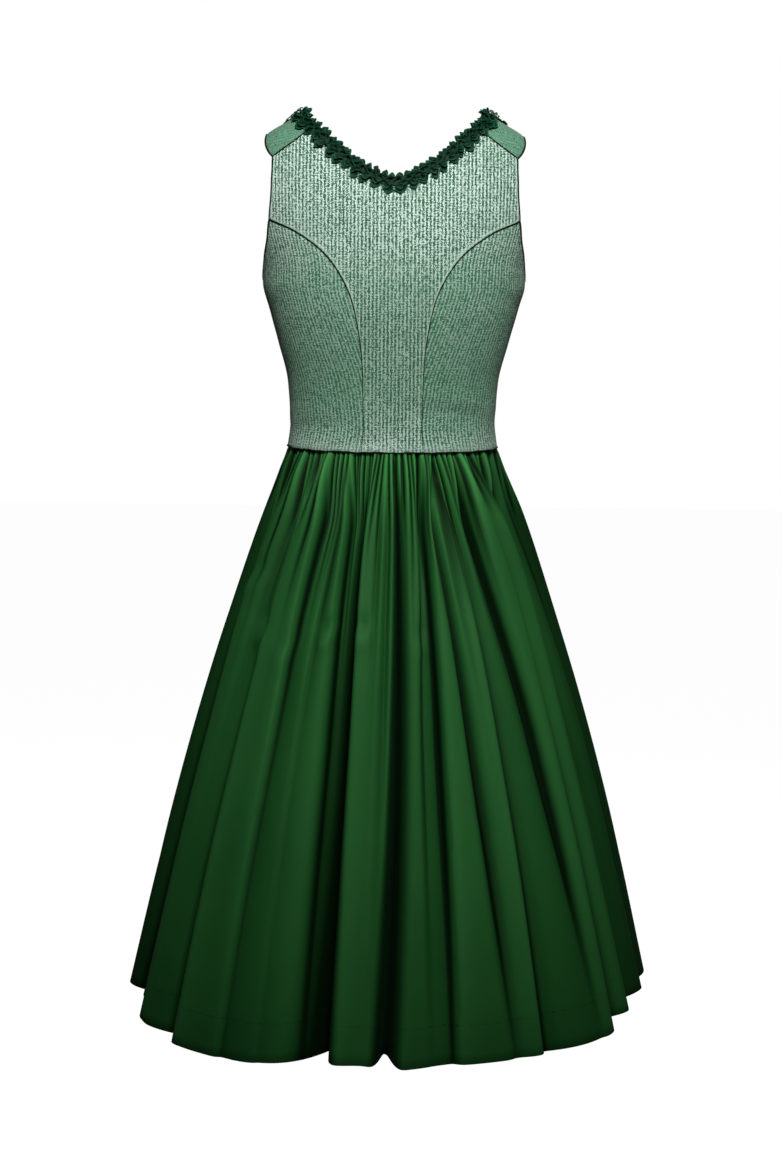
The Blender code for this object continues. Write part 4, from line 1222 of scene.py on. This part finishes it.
class Trim:
    """Collects the ribbon's surfaces, placed by distance along the neckline, across it and above it."""

    def __init__(self):
        self.at, self.spots, self.along, self.into, self.normals = neck_frames()
        self.points, self.faces, self.cloth, self.folds = [], [], [], []
        self.count = 0

    def place(self, run, across, above):
        shape = np.broadcast(run, across, above).shape
        run, across, above = (np.broadcast_to(x, shape).ravel() for x in (run, across, above))
        beyond = run - np.clip(run, self.at[0], self.at[-1])
        spot, into, normal, along = (
            read_line(values, self.at, run) for values in (self.spots, self.into, self.normals, self.along)
        )
        lift = BODICE_CLOTH / 2 + above
        moved = along * beyond[:, None] + into * across[:, None] + normal * lift[:, None]
        return (spot + moved).reshape(*shape, 3)

    def add_surface(self, grid, cloth, fold):
        """A thin two-sided piece of ribbon over a grid."""
        half = grid_normals(grid) * RIBBON_THICKNESS / 2
        rows, columns = grid.shape[:2]
        both = np.stack([grid + half, grid - half])
        layer = np.arange(rows * columns).reshape(rows, columns)
        outer = np.concatenate([strip_faces(layer[i], layer[i + 1]) for i in range(rows - 1)])
        size = rows * columns
        rims = [
            strip_faces(layer[0] + size, layer[0]), strip_faces(layer[-1], layer[-1] + size),
            strip_faces(layer[:, 0], layer[:, 0] + size), strip_faces(layer[:, -1] + size, layer[:, -1]),
        ]
        faces = np.concatenate([outer, outer[:, ::-1] + size, *rims])
        self.points.append(both.reshape(-1, 3))
        self.faces.append(faces + self.count)
        self.cloth.append(np.tile(cloth.reshape(-1, 2), (2, 1)))
        # each point's painted highlight, on both sides
        self.folds.append(np.tile(fold.ravel(), 2))
        self.count += 2 * size

    def petal(self, centre, side, start, length, width, tilt, cup, lean):
        """A cupped petal of ribbon: it leaves the stitched middle and stands up by its tilt."""
        out = np.linspace(0, 1, PETAL["rows"])[:, None]
        over = np.linspace(-1, 1, PETAL["columns"])[None, :]
        outline = PETAL["root"] + (1 - PETAL["root"]) * np.sin(out * math.pi * PETAL["swell"])
        x = outline * width / 2 * over * (1 - PETAL["pinch"] * over**2) + lean * out**1.4
        reach = start + length * out * (1 - PETAL["point"] * np.abs(over) ** 1.4 * out)

        rise = np.tan(tilt) * length * np.sin(out * math.pi * PETAL["arch"]) ** 1.2
        curl = cup * (PETAL["curl_at_root"] + (1 - PETAL["curl_at_root"]) * out) * over**2
        wave = PETAL["wave"] * np.sin(4.2 * over + 9 * lean / 0.002) * out
        z = PETAL["lift"] + np.minimum(rise * (1 - PETAL["flat_sides"] * over**2) + curl, TRIM_TOP) + wave
        grid = self.place(centre + x, TRIM_SET_BACK + side * reach, z)

        cloth = np.stack(np.broadcast_arrays(over * width / 2, reach), axis=-1)
        # painted highlight along the rim and the sides
        rim = PETAL["rim_light"] * np.clip((out - 1) / PETAL["rim"] + 1, 0, 1)
        fold = np.clip(rim + PETAL["side_light"] * np.abs(over) ** 10, 0, 1) * np.clip(0.20 + out, 0, 1)
        if side < 0:
            grid, cloth, fold = grid[:, ::-1], cloth[:, ::-1], fold[:, ::-1]
        self.add_surface(grid, cloth, fold)

    def turned_over(self, centre):
        """How much the ribbon turns over the front of the shoulder at a place along it: 0 to 1."""
        _, y, z = read_line(self.spots, self.at, np.array([centre]))[0]
        if y <= SHOULDER_TURN["front_of"]:
            return 0.0
        return math.exp(-(((z - RIDGE_NECK_Z) / SHOULDER_TURN["reach"]) ** 2))

    def rosette(self, centre, side, length, width, rng):
        """Petals nested in one another, open towards the outside, as a pinched pleat of ribbon opens.

        They are shorter and lie flatter where the ribbon turns over the front of the shoulder.
        """
        turned = self.turned_over(centre)
        length *= 1 - SHOULDER_TURN["shorter"] * turned
        flatter = 1 - SHOULDER_TURN["flatter"] * turned
        for row in rows_of(NESTED_COLUMNS, NESTED_PETALS):
            stray, longer, wider, steeper, cup, lean = (rng.uniform(*ends) for ends in PETAL_RANGES.values())
            narrower = PETAL_LEAST_WIDTH + (1 - PETAL_LEAST_WIDTH) * row["size"]
            self.petal(
                centre + stray, side, row["start"], length * row["size"] * longer, width * narrower * wider,
                row["tilt"] * flatter * steeper, cup, lean,
            )

    def strap(self, start, end, first, second, width, height):
        """A narrow fold of ribbon that runs slantwise over the middle from one pinch to the next."""
        along = np.linspace(0, 1, STRAP["steps"])[:, None]
        across = np.linspace(-1, 1, STRAP["columns"])[None, :]
        x = start + (end - start) * along
        y = TRIM_SET_BACK + first + (second - first) * (3 * along**2 - 2 * along**3) + across * width / 2
        bow = STRAP["low_ends"] + (1 - STRAP["low_ends"]) * np.sin(np.pi * along)
        z = height * bow - STRAP["rounded"] * across**2
        # painted highlight along the strap's edges
        fold = np.broadcast_to(0.05 + STRAP["edge_light"] * np.abs(across) ** 4, z.shape)
        cloth = np.stack(np.broadcast_arrays(across * width, along * STRAP["cut"]), axis=-1)
        self.add_surface(self.place(x, y, z), cloth, fold)

    def base(self):
        """The stitched-down middle of the ribbon, under the petals."""
        first, last = self.at[0] + BASE["end_gap"], self.at[-1] - BASE["end_gap"]
        run = np.linspace(first, last, BASE["steps"])[:, None]
        across = np.linspace(-1, 1, 7)[None, :] * BASE["half_width"]
        wave = BASE["wave"] * np.sin(run * 2 * math.pi / BASE["wave_length"])
        z = 0.0010 + wave * (1 - np.abs(across) / 0.008)
        cloth = np.stack(np.broadcast_arrays(across, run), axis=-1)
        self.add_surface(self.place(run, TRIM_SET_BACK + across, z), cloth, np.zeros(z.shape))


def make_trim(ribbon):
    """The whole trim: its middle, two rows of rosettes and the straps that cross between them."""
    trim = Trim()
    trim.base()
    rng = np.random.default_rng(21)
    total = trim.at[-1]

    def spaced(row):
        """Places along the neckline at a row's pitch, each a little astray."""
        count = int(round(total / row["pitch"]))
        return (np.arange(count) + 0.5) * total / count + rng.uniform(-row["stray"], row["stray"], count)

    for row in rows_of(ROSETTE_COLUMNS, ROSETTES):
        for centre in spaced(row):
            trim.rosette(centre, row["side"], rng.uniform(*row["length"]), rng.uniform(*row["width"]), rng)
    places = spaced(STRAPS)
    for step, (here, after) in enumerate(zip(places, places[1:])):
        swing = rng.uniform(*STRAPS["swing"]) * (1 if step % 2 else -1)
        back = swing * STRAPS["back_swing"]
        width, height = rng.uniform(*UPPER_STRAP["width"]), rng.uniform(*UPPER_STRAP["height"])
        trim.strap(here - 0.001, after + 0.002, -swing, back, width, height)
        if step % 3 != 2:
            width, height = rng.uniform(*LOWER_STRAP["width"]), rng.uniform(*LOWER_STRAP["height"])
            trim.strap(here, after + 0.001, back, -swing, width, height)
    make_piece(
        "neck_trim", np.concatenate(trim.points), np.concatenate(trim.faces), ribbon, "trim_ribbon",
        np.concatenate(trim.cloth), {"painted_ribbon_highlight": np.concatenate(trim.folds)},
    )


# ---------------------------------------------------------------------------------------------
# Piping
# ---------------------------------------------------------------------------------------------
def seam_spots(line, lift):
    return bodice_point(line[:, 0], line[:, 1]) + bodice_normal(line[:, 0], line[:, 1]) * lift


def cut_ends(line, start, end):
    run = run_length(line)
    return read_line(line, run, np.linspace(start, run[-1] - end, len(line)))


PIPING_LIFT = {"seam": 0.0003, "edge": 0.0002, "waist": 0.0004}
# how far each piping stops short of its seam's two ends
PIPING_ENDS = {"princess": (0.001, 0.001), "shoulder": (0.001, 0.012), "waist": (0.0006, 0.0006)}
WAIST_WAVES = ((0.0004, 0.047), (0.0003, 0.019))  # how high and how long the waist seam's uneven waves are


def make_piping(cord):
    """The piping in the princess and shoulder seams and round the armholes."""
    s = SEAMS
    front = s["front_underarm"][::-1][1:], s["front_armhole"][1:]
    armhole = np.vstack([s["back_armhole"][::-1], s["back_underarm"][1:], *front])
    on_seam = BODICE_CLOTH / 2 + PIPING_LIFT["seam"]
    for side, flip in (("right", np.array), ("left", mirrored)):
        princess = cut_ends(seam_spots(flip(s["back_princess"]), on_seam), *PIPING_ENDS["princess"])
        taper = np.linspace(PIPING["seam_end"], PIPING["seam"], len(princess))
        make_cord("princess_piping_" + side, princess, taper, cord)
        shoulder = cut_ends(seam_spots(flip(s["shoulder"]), on_seam), *PIPING_ENDS["shoulder"])
        make_cord("shoulder_piping_" + side, shoulder, PIPING["seam"], cord)
        edge = seam_spots(flip(armhole), PIPING_LIFT["edge"])
        make_cord("armhole_piping_" + side, edge, PIPING["edge"], cord)


def make_waist_piping(cord):
    """The piping round the waist; the seam isn't quite even."""
    s = SEAMS
    half = np.vstack([s["front_waist"], s["side_front_waist"][1:], s["side_back_waist"][::-1][1:]])
    line = np.vstack([half, s["back_waist"][::-1][1:], mirrored(half)[::-1][1:]])
    spots = seam_spots(line, BODICE_CLOTH / 2 + PIPING_LIFT["waist"])
    run = run_length(spots)
    for height, length in WAIST_WAVES:
        spots[:, 2] += height * np.sin(run * 2 * math.pi / length)
    make_cord("waist_piping", cut_ends(spots, *PIPING_ENDS["waist"]), PIPING["waist"], cord)


# ---------------------------------------------------------------------------------------------
# Camera, light and floor
# ---------------------------------------------------------------------------------------------
CAMERA = {"distance": 3.40, "height": -0.055, "pitch": 8.95, "roll": 0.55, "lens": 81.4, "sensor": 36}
FLOOR = {"z": -1.62, "half": 9.0, "shade": (0.16, 0.16, 0.16, 1), "glow": 0.97}
WORLD_LIGHT = 0.035
LIGHT_COLUMNS = ("name", "place", "target", "size", "power", "spread")
LIGHTS = (
    ("key", (0.12, -1.60, 1.00), (0, -0.1, 0.12), (0.7, 0.4), 17, 100),
    ("fill", (0.9, -2.6, 0.2), (0, 0, -0.3), (0.9, 0.9), 2.5, 180),
    ("behind", (0.5, 2.4, 1.1), (0, 0, -0.3), (1.0, 0.8), 24, 180),
    ("left side", (-2.6, 1.2, 0.8), (0, 0, -0.4), (0.8, 0.8), 1.2, 180),
    ("right side", (2.6, 1.2, 0.8), (0, 0, -0.4), (0.8, 0.8), 1.2, 180),
)
WHITE = (1, 1, 1, 1)


def make_camera():
    data = bpy.data.cameras.new("camera")
    data.lens, data.sensor_width = CAMERA["lens"], CAMERA["sensor"]
    camera = bpy.data.objects.new("camera", data)
    place = Matrix.Translation((0, -CAMERA["distance"], CAMERA["height"]))
    tilt = Matrix.Rotation(math.radians(90 - CAMERA["pitch"]), 4, "X")
    roll = Matrix.Rotation(math.radians(CAMERA["roll"]), 4, "Z")
    camera.matrix_world = place @ tilt @ roll
    bpy.context.scene.collection.objects.link(camera)
    bpy.context.scene.camera = camera


def make_light(name, place, target, size, power, spread):
    data = bpy.data.lights.new(name, "AREA")
    data.shape, data.energy, data.spread = "RECTANGLE", power, math.radians(spread)
    data.size, data.size_y = size
    light = bpy.data.objects.new(name, data)
    from_target = np.array(place, float) - np.array(target, float)
    yaw = math.atan2(from_target[0], -from_target[1])
    rise = math.atan2(from_target[2], math.hypot(from_target[0], from_target[1]))
    turn = Matrix.Rotation(yaw, 4, "Z") @ Matrix.Rotation(math.pi / 2 - rise, 4, "X")
    light.matrix_world = Matrix.Translation(place) @ turn
    bpy.context.scene.collection.objects.link(light)


def make_world():
    """The cloth is lit by a faint sky; the camera sees plain white behind it."""
    world = bpy.context.scene.world or bpy.data.worlds.new("world")
    bpy.context.scene.world = world
    world.use_nodes = True
    world.node_tree.nodes.clear()
    n = Nodes(world.node_tree)
    seen = n.add("ShaderNodeBackground", {"Color": WHITE, "Strength": 1.0})
    lit = n.add("ShaderNodeBackground", {"Color": WHITE, "Strength": WORLD_LIGHT})
    camera_ray = n.add("ShaderNodeLightPath").outputs["Is Camera Ray"]
    pick = n.add("ShaderNodeMixShader", {"Fac": camera_ray, 1: lit.outputs[0], 2: seen.outputs[0]})
    n.put(n.add("ShaderNodeOutputWorld").inputs["Surface"], pick.outputs[0])
    bpy.context.scene.view_settings.view_transform = "Standard"


def make_floor():
    material, n, shader = new_material("pale floor", 0.9, Base_Color=FLOOR["shade"], Emission_Color=WHITE)
    path = n.add("ShaderNodeLightPath")
    n.put(shader.inputs["Emission Strength"], n.times(path.outputs["Is Camera Ray"], FLOOR["glow"]))
    half, z = FLOOR["half"], FLOOR["z"]
    corners = [(-half, -half, z), (half, -half, z), (half, half, z), (-half, half, z)]
    mesh = bpy.data.meshes.new("floor")
    mesh.from_pydata(corners, [], [(0, 1, 2, 3)])
    mesh.materials.append(material)
    floor = bpy.data.objects.new("floor", mesh)
    bpy.context.scene.collection.objects.link(floor)


def main():
    make_camera()
    for row in rows_of(LIGHT_COLUMNS, LIGHTS):
        make_light(**row)
    make_world()
    make_floor()
    herringbone, slub, sateen = herringbone_material(), slub_material(), sateen_material()
    make_bodice(herringbone, slub)
    make_underlap(slub)
    make_skirt(sateen)
    make_trim(ribbon_material())
    cord = piping_material()
    make_piping(cord)
    make_waist_piping(cord)


main()
